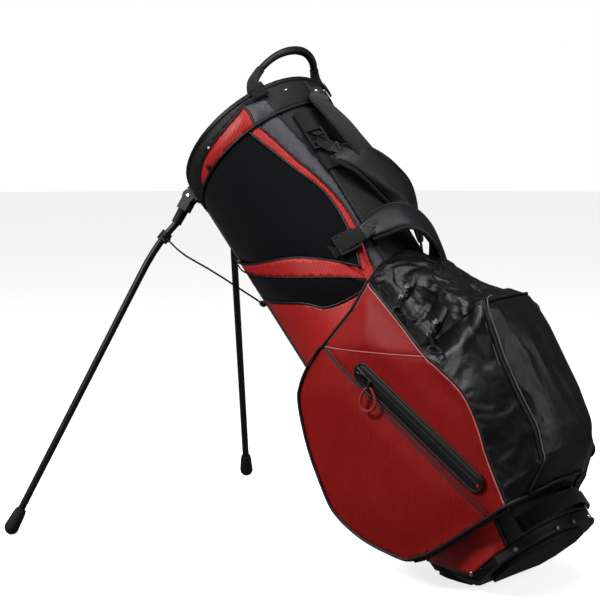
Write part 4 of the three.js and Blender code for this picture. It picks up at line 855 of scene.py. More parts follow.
# Stitches, rivets and other repeats
def repeat_tree(name, sizes):
    """A new tree with a mesh, some sizes and a finish as its inputs, and the sockets' identifiers."""
    tree = bpy.data.node_groups.new(name, "GeometryNodeTree")
    tree.interface.new_socket(name="Geometry", in_out="INPUT", socket_type="NodeSocketGeometry")
    keys = {}
    for key, value in sizes.items():
        socket = tree.interface.new_socket(name=key, in_out="INPUT", socket_type="NodeSocketFloat")
        socket.default_value = value
        keys[key] = socket.identifier
    finish = tree.interface.new_socket(name="Finish", in_out="INPUT", socket_type="NodeSocketMaterial")
    keys["Finish"] = finish.identifier
    tree.interface.new_socket(name="Geometry", in_out="OUTPUT", socket_type="NodeSocketGeometry")
    return tree, keys


def lay_out(tree, start, points, shape, turn):
    """Ends a tree: the shape on every point, made real and in its finish."""
    laid = node(tree, "GeometryNodeInstanceOnPoints",
                links={"Points": points, "Instance": shape.outputs["Mesh"],
                       "Rotation": turn.outputs["Rotation"]})
    real = node(tree, "GeometryNodeRealizeInstances", links={"Geometry": laid.outputs["Instances"]})
    look = node(tree, "GeometryNodeSetMaterial",
                links={"Geometry": real.outputs["Geometry"], "Material": start.outputs["Finish"]})
    node(tree, "NodeGroupOutput", links={"Geometry": look.outputs["Geometry"]})


def stitch_tree():
    """Lays short round-ended threads along a run of edges, each turned with it."""
    tree, keys = repeat_tree("stitch_row", {"Pitch": 0.004, "Length": 0.0028, "Thickness": 0.0006})
    start = node(tree, "NodeGroupInput")
    line = node(tree, "GeometryNodeMeshToCurve", links={"Mesh": start.outputs["Geometry"]})
    even = node(tree, "GeometryNodeResampleCurve", {"mode": "LENGTH"},
                links={"Curve": line.outputs["Curve"], "Length": start.outputs["Pitch"]})
    tangent = node(tree, "GeometryNodeInputTangent")
    turn = node(tree, "FunctionNodeAlignRotationToVector", {"axis": "Z"},
                links={"Vector": tangent.outputs["Tangent"]})
    thread = node(tree, "GeometryNodeMeshCylinder", {"fill_type": "NGON"}, {"Vertices": 6},
                  {"Radius": start.outputs["Thickness"], "Depth": start.outputs["Length"]})
    lay_out(tree, start, even.outputs["Curve"], thread, turn)
    return tree, keys


def knob_tree():
    """Sets a turned knob, such as a rivet's head, on every point, facing along the point's own direction."""
    tree, keys = repeat_tree("knob_on_points", {"Radius": 0.004, "Height": 0.0018})
    start = node(tree, "NodeGroupInput")
    facing = node(tree, "GeometryNodeInputNamedAttribute", {"data_type": "FLOAT_VECTOR"}, {"Name": "facing"})
    turn = node(tree, "FunctionNodeAlignRotationToVector", {"axis": "Z"},
                links={"Vector": next(s for s in facing.outputs if s.enabled and s.type == "VECTOR")})
    slim = node(tree, "ShaderNodeMath", {"operation": "MULTIPLY"}, {1: 0.62}, {0: start.outputs["Radius"]})
    head = node(tree, "GeometryNodeMeshCone", {"fill_type": "NGON"}, {"Vertices": 18},
                {"Radius Bottom": start.outputs["Radius"], "Depth": start.outputs["Height"],
                 "Radius Top": slim.outputs["Value"]})
    lay_out(tree, start, start.outputs["Geometry"], head, turn)
    return tree, keys


TREES = {}


def grown(name, mesh, kind, values):
    """A mesh put through one of the trees, as a plain mesh on the bag."""
    if kind not in TREES:
        TREES[kind] = {"stitches": stitch_tree, "knobs": knob_tree}[kind]()
    tree, keys = TREES[kind]
    obj = add_object(name, mesh)
    modifier = obj.modifiers.new("Repeat", "NODES")
    modifier.node_group = tree
    for key, value in values.items():
        modifier[keys[key]] = value
    applied(obj)
    smooth_shade(obj.data, 40)
    return finish_piece(obj, values["Finish"])


def stitches(name, runs, material, pitch=4.0, length=2.7, thickness=0.45):
    """Stitch rows along several runs of points."""
    points, edges = [], []
    for run in runs:
        start = len(points)
        points.extend(tuple(p) for p in to_row(run))
        edges.extend((start + k, start + k + 1) for k in range(len(run) - 1))
    mesh = bpy.data.meshes.new(name)
    mesh.from_pydata(points, edges, [])
    sizes = {"Pitch": pitch / 1000, "Length": length / 1000, "Thickness": thickness / 1000}
    return grown(name, mesh, "stitches", {**sizes, "Finish": material})


def knobs(name, places, material, radius, height):
    """Rivet or snap heads at places, each [point, direction]."""
    mesh = bpy.data.meshes.new(name)
    mesh.from_pydata([tuple(to_row(p)) for p, _ in places], [], [])
    facing = mesh.attributes.new("facing", "FLOAT_VECTOR", "POINT")
    directions = [to_row(np.asarray(d, float)) - to_row((0, 0, 0)) for _, d in places]
    units = np.array([d / np.linalg.norm(d) for d in directions], np.float32)
    facing.data.foreach_set("vector", units.ravel())
    return grown(name, mesh, "knobs", {"Radius": radius / 1000, "Height": height / 1000, "Finish": material})


def skin_normal(phi, z):
    """Direction out of the tube at a place on it."""
    a, b, c = skin(phi, z), skin(phi + 0.5, z), skin(phi, z + 1)
    n = np.cross(b - a, c - a)
    n /= np.linalg.norm(n)
    return n if n.dot(a * (1, 1, 0)) > 0 else -n


# Collar, cuff and dividers
COLLAR_SEAMS = {
    "red_top": [(119, 742), (114, 756), (109, 766), (100, 775), (88, 781), (76, 786), (66, 791), (57, 797),
                (52, 803)],
    "red_end": [(52, 803), (51.3, 785), (52.5, 765), (55, 745)],
    "vinyl_top": [(52, 803), (45, 800), (38, 799.5)],
    "vinyl_rear": [(38, 799.5), (35.6, 790), (35, 772), (35.5, 745)],
}
COLLAR_PIPING = {"red_top": 1.5, "red_end": 1.5, "vinyl_top": 1.2, "vinyl_rear": 1.2}
COLLAR_ZONES = {
    # The collar's red takes the darker copy of the red cloth, painted shade
    "collar_red": ((85, 768), "red_tube"),
    "collar_vinyl": ((45, 785), "charcoal"),
    "collar_rim": ((100, 790), "matt"),
}
# The collar's small heads: finish, radius, height and places
COLLAR_HEADS = {
    "collar_snaps": ("white", 2.4, 1.4, ((87.7, 781.5), (272.3, 781.5))),
    "collar_eyelets": ("rubber", 4.6, 1.8, ((96.7, 761), (263.3, 761))),
    "collar_studs": ("steel", 2.2, 1.4, ((20.8, 797), (339.2, 797))),
}


def collar_out(gap):
    return COLLAR_THICK - 0.9 + 2.6 * (1 - np.exp(-((gap / 9) ** 2)))


def make_collar(mats):
    """The padded collar in its zones of cloth, with piping, stitches and snaps."""
    step = 4
    phis = np.arange(0, 181, 4)
    top = [(p * PHI_MM, float(mouth_at(p, 6))) for p in phis]
    low = [(p * PHI_MM, float(mouth_at(p, COLLAR_HEIGHT))) for p in phis]
    rim = rim_between(low, top, step)
    runs = {key: clip_run(smooth_line(flat_run(run), step), rim) for key, run in COLLAR_SEAMS.items()}
    zones = flat_patches(rim, runs.values(), zone_seeds(COLLAR_ZONES), 5)
    rows = [straight_line(low, step), straight_line(top, step), *runs.values()]
    for name, (flat, faces) in zones.items():
        finish = COLLAR_ZONES[name][1]
        gap = distance_to(flat, rows)
        out = collar_out(gap)
        for i, (u, v) in enumerate(flat):
            out[i] += 0.5 * noise.noise((u / 30, v / 30, 7.7)) * min(1, gap[i] / 8)
        points = on_tube(flat, out)
        for side, turned in SIDES:
            obj = patch_piece(f"{side}_{name}", flat, faces, turned(points), 2.2)
            finish_piece(obj, mats[finish])
    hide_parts("collar_band")
    full = np.arange(0, 360, 3)
    foot = skin(full, mouth_at(full, COLLAR_HEIGHT + 0.5), 2.6)
    head = skin(full, mouth_at(full, 6.2), 4.4)
    rods = [tube("rod", foot, 2.6, 10, closed=True), tube("rod", head, 1.6, 8, closed=True)]
    for _, turned in SIDES:
        for key, radius in COLLAR_PIPING.items():
            rods.append(tube("rod", turned(on_tube(runs[key], COLLAR_THICK - 0.6)), radius, 8))
    joined_piece("collar_piping", rods, mats["piping"])
    under_red_top = on_tube(runs["red_top"] - (0, 3.2), COLLAR_THICK + 0.2)
    seam = np.arange(62, 300, 3)
    rim_seam = skin(seam, mouth_at(seam, 11), COLLAR_THICK + 1.4)
    stitches("collar_stitches", [under_red_top, mirrored(under_red_top), rim_seam], mats["thread"])
    for name, (finish, radius, height, places) in COLLAR_HEADS.items():
        heads = [(skin(p, z, COLLAR_THICK + 1.9), skin_normal(p, z)) for p, z in places]
        knobs(name, heads, mats[finish], radius, height)


def make_cuff(mats):
    """The moulded cuff with the ribs inside of it, and the dividers hung from it."""
    refined("top_cuff", mats["moulding"], 1.2)
    ribs_on = []
    for phi in range(0, 360, 12):
        a, b = (skin(phi, float(mouth_at(phi, below)), -WALL - 5.3) for below in (8, 30))
        round_the_cuff = np.cross(skin_normal(phi, 700), (0, 0, 1))
        ribs_on.append(strap("rib", [a, (a + b) / 2, b], round_the_cuff, 2.0, 1.4, 2))
    joined_piece("cuff_ribs", ribs_on, mats["moulding"], 40)
    for name, x in (("front_divider", -36), ("back_divider", 36)):
        make_divider(name, x, mats)
    make_middle_divider(mats)


def divider_half(x, z):
    """Half width of the tube's inside at x."""
    phis = np.linspace(1, 179, 179)
    ring = skin(phis, z, -WALL - 0.4)
    return float(np.interp(-x, -ring[:, 0], -ring[:, 1]))


def hung_sheet(name, rows, mats):
    """A fleece sheet in place of a divider."""
    obj = grid_piece(name + "_cloth", rows)
    add_modifier(obj, "SOLIDIFY", thickness=0.003, offset=0)
    finish_piece(obj, mats["divider"], replaces=[name])


def make_divider(name, x, mats):
    """A sheet across the tube, with a slight wave."""
    top = float(mouth_z(x, 24.5))
    rows = []
    for z in np.linspace(30, top, 60):
        half = divider_half(x, z) - (2.5 if z < 760 else 6.5) - (14 if z < 60 else 0)
        across = np.linspace(-1, 1, 41)
        wave = 2.2 * np.sin(z / 60 + across * 2.2) * np.sin(math.pi * min(1, (top - z) / 120) / 2)
        rows.append(np.stack([x + wave * (1 - across**2), across * half, np.full(41, z)], -1))
    hung_sheet(name, rows, mats)


def make_middle_divider(mats):
    """A sheet between the two dividers."""
    top = float(mouth_z(-34, 23.5))
    rows = []
    for z in np.linspace(30, top, 60):
        along = np.linspace(-1, 1, 15)
        wave = 1.5 * np.sin(z / 70) * (1 - along**2) * min(1, (top - z) / 100)
        rows.append(np.stack([along * 33.6, wave, np.full(15, z)], -1))
    hung_sheet("middle_divider", rows, mats)


# Base, stand and other rigid parts
# Rigid parts: finish, width of the eased edges, and the angle that counts as an edge
MIDDLE_PARTS = {
    "base_tray": ("moulding", 0.9, 32), "sole_pad": ("rubber", 1.0, 32), "toe_lever": ("rubber", 1.2, 32),
    "toe_pin": ("steel", 0.3, 32), "rod_channel": ("moulding", 0.8, 32),
    "stand_bracket": ("moulding", 0.8, 32),
}
SIDE_PARTS = {
    "leg_fork": ("moulding", 0.8, 32), "foot": ("rubber", 0.6, 40), "leg_clip": ("moulding", 0.5, 32),
    "hinge_pin": ("steel", 0.3, 32), "wire": ("wire", 0, 60), "leg_tube": ("powder", 0, 60),
    "stay": ("steel", 0, 60),
}
TRAY_RIVETS = ((92.3, 13), (55.5, 5), (21.7, 3.5), (4, 3), (-92.3, 13), (-55.5, 5), (-21.7, 3.5))


def make_base(sizes, mats):
    """The base, the stand and the legs in their finishes, and the rivets round the tray."""
    parts = dict(MIDDLE_PARTS)
    for side, _ in SIDES:
        parts.update({f"{side}_{part}": look for part, look in SIDE_PARTS.items()})
    parts["push_rod"] = ("wire", 0, 50)
    for part, (finish, width, angle) in parts.items():
        refined(part, mats[finish], width, angle)
    heads = [(skin(phi, z, 2.2), skin_normal(phi, 60)) for phi, z in TRAY_RIVETS]
    knobs("tray_rivets", heads, mats["steel"], mm(sizes.rivet_radius), 1.6)


# Simulated cloth
def vertex_places(mesh):
    """A mesh's points as an array, in metres."""
    places = np.empty(len(mesh.vertices) * 3, np.float32)
    mesh.vertices.foreach_get("co", places)
    return places.reshape(-1, 3)


def cloth_run(obj, frames=20, **values):
    """Where a cloth's points are, and how far a short run moves them."""
    scene = bpy.context.scene
    start = vertex_places(obj.data)
    cloth = obj.modifiers.new("Cloth", "CLOTH")
    for key, value in values.items():
        setattr(cloth.settings, key, value)
    cloth.settings.effector_weights.gravity = 0
    cloth.collision_settings.use_collision = False
    cloth.point_cache.frame_start, cloth.point_cache.frame_end = 1, frames
    for f in range(1, frames + 1):
        scene.frame_set(f)
    done = obj.evaluated_get(bpy.context.evaluated_depsgraph_get())
    shift = vertex_places(done.to_mesh()) - start
    done.to_mesh_clear()
    obj.modifiers.remove(cloth)
    scene.frame_set(1)
    return start, shift


def crumpled(obj, held, growth, cap_mm):
    """Lets a sheet buckle as slightly oversized cloth between its held points, within a cap."""
    group = obj.vertex_groups.new(name="held")
    for i, weight in enumerate(held):
        if weight > 0.01:
            group.add([i], float(weight), "REPLACE")
    start, shift = cloth_run(obj, quality=6, mass=0.25, tension_stiffness=18, compression_stiffness=18,
                             shear_stiffness=6, bending_stiffness=0.12, air_damping=2,
                             vertex_group_mass="held", pin_stiffness=1, shrink_min=-growth)
    obj.vertex_groups.clear()
    size = np.linalg.norm(shift, axis=1)
    limit = cap_mm / 1000
    shift *= (np.tanh(size / limit) * limit / np.maximum(size, 1e-9))[:, None]
    obj.data.vertices.foreach_set("co", (start + shift).ravel())
    obj.data.update()


def puffed(obj, voxel_mm, pressure, cap_mm):
    """Swells a closed pad by cloth pressure, within a cap, on an even remesh."""
    applied(obj)
    add_modifier(obj, "REMESH", mode="VOXEL", voxel_size=voxel_mm / 1000, use_smooth_shade=True)
    applied(obj)
    start, shift = cloth_run(obj, quality=5, mass=0.3, tension_stiffness=15, compression_stiffness=15,
                             bending_stiffness=0.5, use_pressure=True, uniform_pressure_force=pressure)
    shift -= shift.mean(0)
    size = np.linalg.norm(shift, axis=1)
    shift *= np.minimum(1, cap_mm / 1000 / np.maximum(size, 1e-9))[:, None]
    obj.data.vertices.foreach_set("co", (start + shift).ravel())
    obj.data.update()
    add_modifier(obj, "SUBSURF", levels=1)
    applied(obj)
    obj.data.shade_smooth()
    return obj


def crumple_at(points, size, seed, sharp=2.2):
    """Ridged creases of about a size in millimetres, from 0 to 1."""
    out = np.empty(len(points))
    for i, p in enumerate(points):
        q = Vector(p) / size
        warp = noise.noise(q * 0.7 + Vector((seed, 3, 7))) * 1.6
        bent = Vector((q.x + warp, q.y + warp * 0.5, q.z * 0.62))
        out[i] = 1 - abs(noise.noise(bent + Vector((seed, seed, 0))))
    return out**sharp


# Side pockets
POCKET_MIDDLE = np.array((10, 240))
FOLD_SEAM = [(1, 408), (28, 384), (62, 356), (104, 322), (124, 306), (143, 291)]
DIAGONAL_SEAM = [(1, 408), (25, 313), (58, 186), (91, 59)]
FLAP_LEFT = [(1, 408), (72, 424), (110, 441)]
FACE_REAR = [(110, 441), (128, 364), (143, 291), (152, 262), (163, 212), (155, 164), (140, 120), (124, 54)]
FACE_DEPTH = [(441, 122), (364, 135), (291, 147), (54, 147)]
FLAP_SLOPE = 0.27
ZIP_HALF = 15.5


# The far side stands emptier: at each height, the line in the level cut that nothing there stands past. The
# line leans by FAR_LEAN, less above the ball pocket, and what is past it is drawn in along FAR_PULL.
FAR_LIMIT = [(46, 134), (61, 142), (70, 168), (100, 209), (126, 221), (155, 232), (216, 243), (271, 252),
             (303, 254), (338, 226), (373, 201), (421, 174), (431, 163)]
FAR_LEAN, FAR_LEAN_DROP = 0.565, 0.16
FAR_PULL = (0.86, 0.5)
FAR_SOFTNESS = 7


def eased(points):
    """The emptier far side: what would stand past the ball pocket's back is drawn in."""
    p = np.array(points, float)
    x, y, z = p[..., 0], p[..., 1], p[..., 2]
    lean = FAR_LEAN - FAR_LEAN_DROP * smoothstep(z, 290, 330)
    over = (x + lean * y - np.interp(z, *zip(*FAR_LIMIT)) + 2) / FAR_SOFTNESS
    over = FAR_SOFTNESS * np.log1p(np.exp(np.clip(over, -30, 30))) * smoothstep(y, 0, 40)
    over *= smoothstep(z, 440, 428)
    shift = over / (FAR_PULL[0] + FAR_PULL[1] * lean)
    p[..., 0] -= FAR_PULL[0] * shift
    p[..., 1] -= FAR_PULL[1] * shift
    return p


def far_side(points):
    return eased(mirrored(points))


def face_ring():
    """The pocket face's outline, with the count of its front, flap and rear points."""
    front = smooth_line(POCKET_FRONT, 6)
    left = straight_line(FLAP_LEFT, 6)
    rear = smooth_line(FACE_REAR, 6)
    return np.vstack([front[:-1], left[:-1], rear[:-1]]), len(front) - 1, len(left) - 1


def segment_gap(points, a, b):
    return distance_to(points, [np.array([a, b], float)])


def face_depth(points, gap, seams):
    """How far the face stands from the bag's middle plane."""
    x, z = points[:, 0], points[:, 1]
    beyond = np.maximum(0, ((x - 1) * 118 + (z - 408) * 144) / 186.2)
    zipped = segment_gap(points, ZIP_FROM, ZIP_TO)
    crown = 4.2 * (1 - np.exp(-((gap / 34) ** 2)))
    crown += 4.5 * smoothstep(zipped, ZIP_HALF + 4, 58) * (1 - np.exp(-((gap / 55) ** 2)))
    sunk = 1.5 * np.exp(-((distance_to(points, seams) / 4.5) ** 2))
    soft = np.array([noise.noise((u / 70, v / 90, 1.7)) for u, v in points])
    pucker = np.array([noise.noise((u / 16, v / 16, 5.2)) for u, v in points])
    calm = smoothstep(zipped, ZIP_HALF, ZIP_HALF + 18) * np.minimum(1, gap / 16)
    return 147 - FLAP_SLOPE * beyond + crown - sunk + calm * (1.5 * soft) + 0.5 * pucker * np.exp(-gap / 12)


def pocket_rings(run, depth):
    """Rings of a gusset from the face's outline in to the tube."""
    rings = []
    for k, inset, tuck in ((1.0, 0, 0), (0.965, -2.6, 0), (0.92, -3.6, 1.5), (0.85, -2.5, 5), (0.76, 3, 11),
                           (0.66, 12, 18), (0.54, 27, 26), (0.42, 46, 34)):
        away = run - POCKET_MIDDLE
        reach = np.linalg.norm(away, axis=1)
        drawn = inset + tuck * np.clip(-away[:, 0] / 140, 0, 1)
        flat = POCKET_MIDDLE + away * ((reach - drawn) / reach)[:, None]
        rings.append(np.stack([flat[:, 0], -depth * k, flat[:, 1]], -1))
    return rings


POCKET_SEEDS = {"flap": (80, 400), "upper": (70, 290), "front": (-60, 240)}


def make_side_pockets(sizes, mats):
    """Both side pockets: a red face in three cloths, a gusset, piping and stitched seams, with painted
    highlights in pale red on the face's rear edge, fold and flap edge.
    """
    ring, front_count, left_count = face_ring()
    seams = [clip_run(smooth_line(run, 6), ring) for run in (FOLD_SEAM, DIAGONAL_SEAM)]
    for seam, run in zip(seams, (FOLD_SEAM, DIAGONAL_SEAM)):
        seam[0] = run[0]
    fold, diagonal = seams
    patches = flat_patches(ring, seams, POCKET_SEEDS, sizes.pocket_step * 1000)
    outline = np.vstack([ring, ring[:1]])

    def lifted(run, proud=0.0):
        depth = face_depth(run, distance_to(run, [outline]), seams) + proud
        return np.stack([run[:, 0], -depth, run[:, 1]], -1)

    edge = lifted(outline)
    sewn_in = slice(3, front_count + left_count - 2)
    gusset = pocket_rings(outline[sewn_in], -edge[sewn_in, 1])
    foot = edge[:front_count][(outline[:front_count, 1] < 92) & (outline[:front_count, 0] > -62)]
    rear = edge[front_count + left_count:]
    flap_edge = outline[front_count + 1:front_count + left_count + 1] + (3.6, -2.2)
    spread = np.linspace(1.3, 3.4, len(diagonal))[:, None]
    for side, turned, wall_from in (("near", np.asarray, 1), ("far", far_side, -1)):
        for name, (flat, faces) in patches.items():
            obj = patch_piece(f"{side}_pocket_{name}", flat, faces, turned(lifted(flat)), 2.0)
            finish_piece(obj, mats["red"],
                         replaces=[f"{side}_side_pocket"] if name == "front" else ())
        obj = grid_piece(f"{side}_pocket_gusset", [turned(r) for r in gusset])
        add_modifier(obj, "SOLIDIFY", thickness=0.002, offset=wall_from)
        add_modifier(obj, "SUBSURF", levels=1)
        applied(obj)
        obj.data.shade_smooth()
        finish_piece(obj, mats["red"])
        rods = [tube("rod", turned(edge[:front_count + left_count + 1] - (0, 1.2, 0)), 2.4, 10),
                tube("rod", turned(foot + (-1.5, 3.2, -4.6)), 2.7, 10),
                tube("rod", turned(rear + (2.2, 2.2, 0)), 1.5, 8)]
        joined_piece(f"{side}_pocket_piping", rods, mats["piping"])
        # Pale red lines on the rear edge, the fold and the flap edge: painted highlights where the cloth
        # turns
        highlight_lines = [tube("rod", turned(rear - (0.4, 0.6, 0)), 1.0, 8),
                tube("rod", turned(lifted(fold, 0.5)), 0.85, 6),
                tube("rod", turned(lifted(flap_edge, 0.3)), 0.7, 6)]
        joined_piece(f"{side}_pocket_edges", highlight_lines, mats["painted_highlight_red"])
        lines = [tube("line", turned(lifted(diagonal + spread * (s * 0.94, s * 0.33), 0.1)), 1.25, 8)
                 for s in (-1, 1)]
        joined_piece(f"{side}_pocket_seam", lines, mats["piping"])
        rows = [turned(lifted(run, 0.35)) for run in
                (fold + (1.2, 3.4), diagonal + (5.6, 0.8), diagonal - (5.6, 0.8))]
        stitches(f"{side}_pocket_stitches", rows, mats["red_thread"], 3.6, 2.5, 0.35)


# Ball pocket and the pocket above it
BALL_PIPING = [(56, 142), (73, 188), (119, 209), (167, 215), (224, 225), (282, 243), (300, 249)]
UPPER_CORNER = [(309, 243, 104), (338, 215, 98), (373, 190, 88), (421, 160, 73), (431, 150, 70)]
BACK_LINE = [(46, 150), (54, 167), (82, 210), (107, 225), (155, 237), (250, 252), (309, 252), (338, 226),
             (373, 201), (421, 174), (431, 163)]
PIPING_OUT = 110
WALL_COLUMNS = 40
BACK_COLUMNS = 64
ROW_STEP = 4
SEAM_TOP_Z = 484


def upper_half(z):
    return REAR_HALF - (np.asarray(z, float) - REAR_TOP) * 30 / (UPPER_TOP - REAR_TOP)


def table(rows, z, column=1):
    rows = np.asarray(rows, float)
    return float(np.interp(z, rows[:, 0], rows[:, column]))


def rear_edge_of_face(z):
    run = smooth_line(FACE_REAR, 4)[::-1]
    depth = np.asarray(FACE_DEPTH[::-1], float)
    return float(np.interp(z, run[:, 1], run[:, 0])), float(np.interp(z, depth[:, 0], depth[:, 1]))


def corner_of_back(z):
    low = (table(BALL_PIPING, z), PIPING_OUT)
    high = (table(UPPER_CORNER, z), table(UPPER_CORNER, z, 2))
    w = float(smoothstep(z, 296, 312))
    return low[0] * (1 - w) + high[0] * w, low[1] * (1 - w) + high[1] * w


def wall_section(z):
    """Half the pockets' section at a height: the near wall, then the back to its middle."""
    ex, ey = rear_edge_of_face(z)
    cx, cy = corner_of_back(z)
    ex, ey = ex + 1.5, ey - 1.0
    t = np.linspace(0, 1, WALL_COLUMNS)
    out = np.array([ey - cy, cx - ex]) / math.hypot(ey - cy, cx - ex)
    low = np.stack([ex + (cx - ex) * t, ey + (cy - ey) * t], -1) + np.outer(3.5 * np.sin(math.pi * t), out)
    half = float(upper_half(z)) - 0.5
    bend = smooth_line([(ex, ey), (ex + 2.5, (ey + half) / 2), (ex + 6, half + 4), (ex + 16, half)], 2)
    rest = straight_line([bend[-1], (max(cx - 12, ex + 20), half), (cx, cy)], 3)
    high = np.vstack([bend[:-1], rest])
    away = np.concatenate([[0], np.cumsum(np.linalg.norm(np.diff(high, axis=0), axis=1))])
    high = np.stack([np.interp(t * away[-1], away, high[:, k]) for k in (0, 1)], -1)
    w = float(smoothstep(z, 272, 316))
    wall = low * (1 - w) + high * w
    back = table(BACK_LINE, z)
    u = np.linspace(1, 0, BACK_COLUMNS)[1:]
    soft = (1 - u**2.6) ** 0.62
    rear = np.stack([cx + (back - cx) * soft, cy * u], -1)
    return np.vstack([wall, rear])


def rear_grid():
    """Rows of points round the two rear pockets, from the foot to the seam on the spine; their heights."""
    heights = np.concatenate([[48], np.arange(54, 431, ROW_STEP)])
    rows = []
    for z in heights:
        half = wall_section(max(z, 54))
        if z < 54:
            half = np.stack([np.minimum(half[:, 0], 112 + (half[:, 0] - 112) * 0.35), half[:, 1] * 0.82], -1)
        ring = np.vstack([half * (1, -1), half[:-1][::-1]])
        rows.append(np.column_stack([ring[:, 0], ring[:, 1], np.full(len(ring), float(z))]))
    last = rows[-1]
    share = np.linspace(-1, 1, len(last))
    phi = -48 * np.sign(share) * np.abs(share) ** 0.8
    low_far = 26 * smoothstep(-phi, 5, 45)
    seam = skin(phi, SEAM_TOP_Z - 0.0141 * phi**2 - low_far, 1.5)
    for t in np.linspace(0, 1, 13)[1:]:
        rows.append(last * (1 - t) + seam * t + np.array((0, 0, 1)) * 6 * math.sin(math.pi * t))
    return np.array(rows), heights


def zip_gap(points):
    """Distance from the rear zips, in the side view."""
    flat = points[:, [0, 2]]
    gap = np.minimum(segment_gap(flat, (160, 411), (110, 389)), segment_gap(flat, (190, 339), (138, 316)))
    return np.where(points[:, 1] < -60, gap, 99)


def row_normals(grid):
    along = np.gradient(grid, axis=0)
    across = np.gradient(grid, axis=1)
    n = np.cross(across, along)
    n /= np.maximum(np.linalg.norm(n, axis=2), 1e-9)[..., None]
    middle = grid.mean(axis=(0, 1)) * (0, 0, 1) + (60, 0, 0)
    if (n * (grid - middle)).sum() < 0:
        n = -n
    return n


CORNER = WALL_COLUMNS - 1
# Long creases in the side view: their line, depth and width
FLAP_CREASE = ([(175, 368), (146, 355), (118, 343)], 3.2, 6)
WALL_CREASE = ([(214, 304), (217, 272), (212, 232)], 2.6, 9)


def crease(flat, line, depth, width):
    gap = distance_to(flat[:, [0, 2]], [np.array(line, float)])
    return depth * np.exp(-((gap / width) ** 2))


def from_corners(column, count):
    """Columns between a point and the nearer of the pockets' two corners."""
    return np.minimum(np.abs(column - CORNER), np.abs(column - (count - 1 - CORNER)))


def pocket_folds(flat, column, count):
    """How far the rear pockets' cloth stands out of its even shape, in millimetres."""
    z = flat[:, 2]
    from_border = np.minimum(column, count - 1 - column) * 2.6
    free = np.minimum(1, from_border / 14) * np.clip(zip_gap(flat) / 22 - 0.45, 0, 1)
    upper = smoothstep(z, 290, 330)
    wall = (column < CORNER) | (column > count - 1 - CORNER)
    coarse = crumple_at(flat, 62, 4.1)
    fine = crumple_at(flat, 27, 9.4, 3.0)
    folds = crumple_at(flat * (1, 1.2, 0.2), 62, 2.7, 2.0)
    across = flat[:, 0] * 0.77 - flat[:, 2] * 0.64
    down = (flat[:, 0] * 0.64 + flat[:, 2] * 0.77) * 0.3
    draped = crumple_at(np.stack([across, flat[:, 1], down], -1), 30, 5.2, 2.6)
    amount = np.where(wall, 0.2 + 1.7 * upper, 0.2 + 2.0 * upper)
    lift = amount * ((coarse - 0.72) * 2.4 + (fine - 0.7) * 1.0)
    lift += np.where(wall, 0, 2.0 * (1 - upper)) * (folds - 0.7)
    lift += 4.2 * upper * (draped - 0.7)
    lift -= 2.0 * np.exp(-((from_corners(column, count) * 3.4 / 5) ** 2)) * (z < 306)
    lift -= 2.2 * np.exp(-(((z - 309) / 5) ** 2)) * np.where(wall, 0, 1)
    lift -= crease(flat, *FLAP_CREASE) * (wall & (flat[:, 1] < 0))
    lift -= crease(flat, *WALL_CREASE) * (wall & (z < 312))
    return lift * free


def pocket_sheet(name, grid, growth, cap_mm, mats):
    """One rear pocket's cloth, crumpled between its seams and its zip."""
    size = grid.shape[:2]
    obj = grid_piece(name + "_cloth", grid)
    row = np.repeat(np.arange(size[0]), size[1])
    column = np.tile(np.arange(size[1]), size[0])
    edge = np.minimum.reduce([row, size[0] - 1 - row, column, size[1] - 1 - column,
                              from_corners(column, size[1])])
    near_zip = np.clip(1.6 - zip_gap(grid.reshape(-1, 3)) / 14, 0, 1)
    crumpled(obj, np.maximum(np.where(edge == 0, 1.0, 0.0), near_zip), growth, cap_mm)
    add_modifier(obj, "SOLIDIFY", thickness=0.0018, offset=-1)
    add_modifier(obj, "SUBSURF", levels=1)
    applied(obj)
    obj.data.shade_smooth()
    finish_piece(obj, mats["gloss"], replaces=[name])


def make_rear_pockets(mats):
    """The ball pocket and the crumpled pocket above it, with the piping on their seams and painted
    highlights in grey beside it.
    """
    grid, heights = rear_grid()
    flat = grid.reshape(-1, 3)
    count = grid.shape[1]
    column = np.tile(np.arange(count), grid.shape[0])
    shift = row_normals(grid).reshape(-1, 3) * pocket_folds(flat, column, count)[:, None]
    grid = eased(flat + shift).reshape(grid.shape)
    split = int(np.searchsorted(heights, REAR_TOP))
    pocket_sheet("ball_pocket", grid[:split + 1], 0.008, 1.6, mats)
    pocket_sheet("upper_pocket", grid[split:], 0.028, 3.0, mats)
    rods, thin = [], []
    for side, col in ((-1, CORNER), (1, count - 1 - CORNER)):
        run = grid[1:split - 1, col]
        arch = [run[-1], *eased([(249, side * 105, 304), (248, side * 96, 310), (249, side * 80, 312)])]
        path = smooth_line(np.vstack([run[:-1], smooth_line(arch, 4)])[::3], 5)
        rods.append(tube("rod", path + (0.8, side * 1.5, 0), 2.1, 10))
        # Thin grey lines on either side of the piping: painted highlights
        thin.append(tube("rod", path + (5.6, -side * 1.0, 0), 1.0, 8))
        thin.append(tube("rod", path + (-4.2, side * 3.0, 0), 0.8, 8))
    across = grid[split][CORNER + 8:count - CORNER - 8:3] + (1.0, 0, 1.5)
    rods.append(tube("rod", smooth_line(across, 5), 2.0, 10))
    joined_piece("ball_pocket_piping", rods, mats["piping"])
    joined_piece("ball_pocket_edges", thin, mats["painted_highlight_grey"])
    low = grid[1, :CORNER + 1]
    back_low = grid[1, CORNER:count - CORNER]
    under = [tube("rod", smooth_line(run[::4], 5) - (0, 0, 1.5), radius, 10)
             for run, radius in ((low, 3.0), (far_side(low), 3.0), (back_low, 2.6))]
    joined_piece("ball_pocket_foot_piping", under, mats["piping"])
    obj = tube("upper_pocket_piping", smooth_line(grid[-1][::4] + (0.6, 0, 0.6), 5), 1.7, 8)
    finish_piece(obj, mats["piping"])


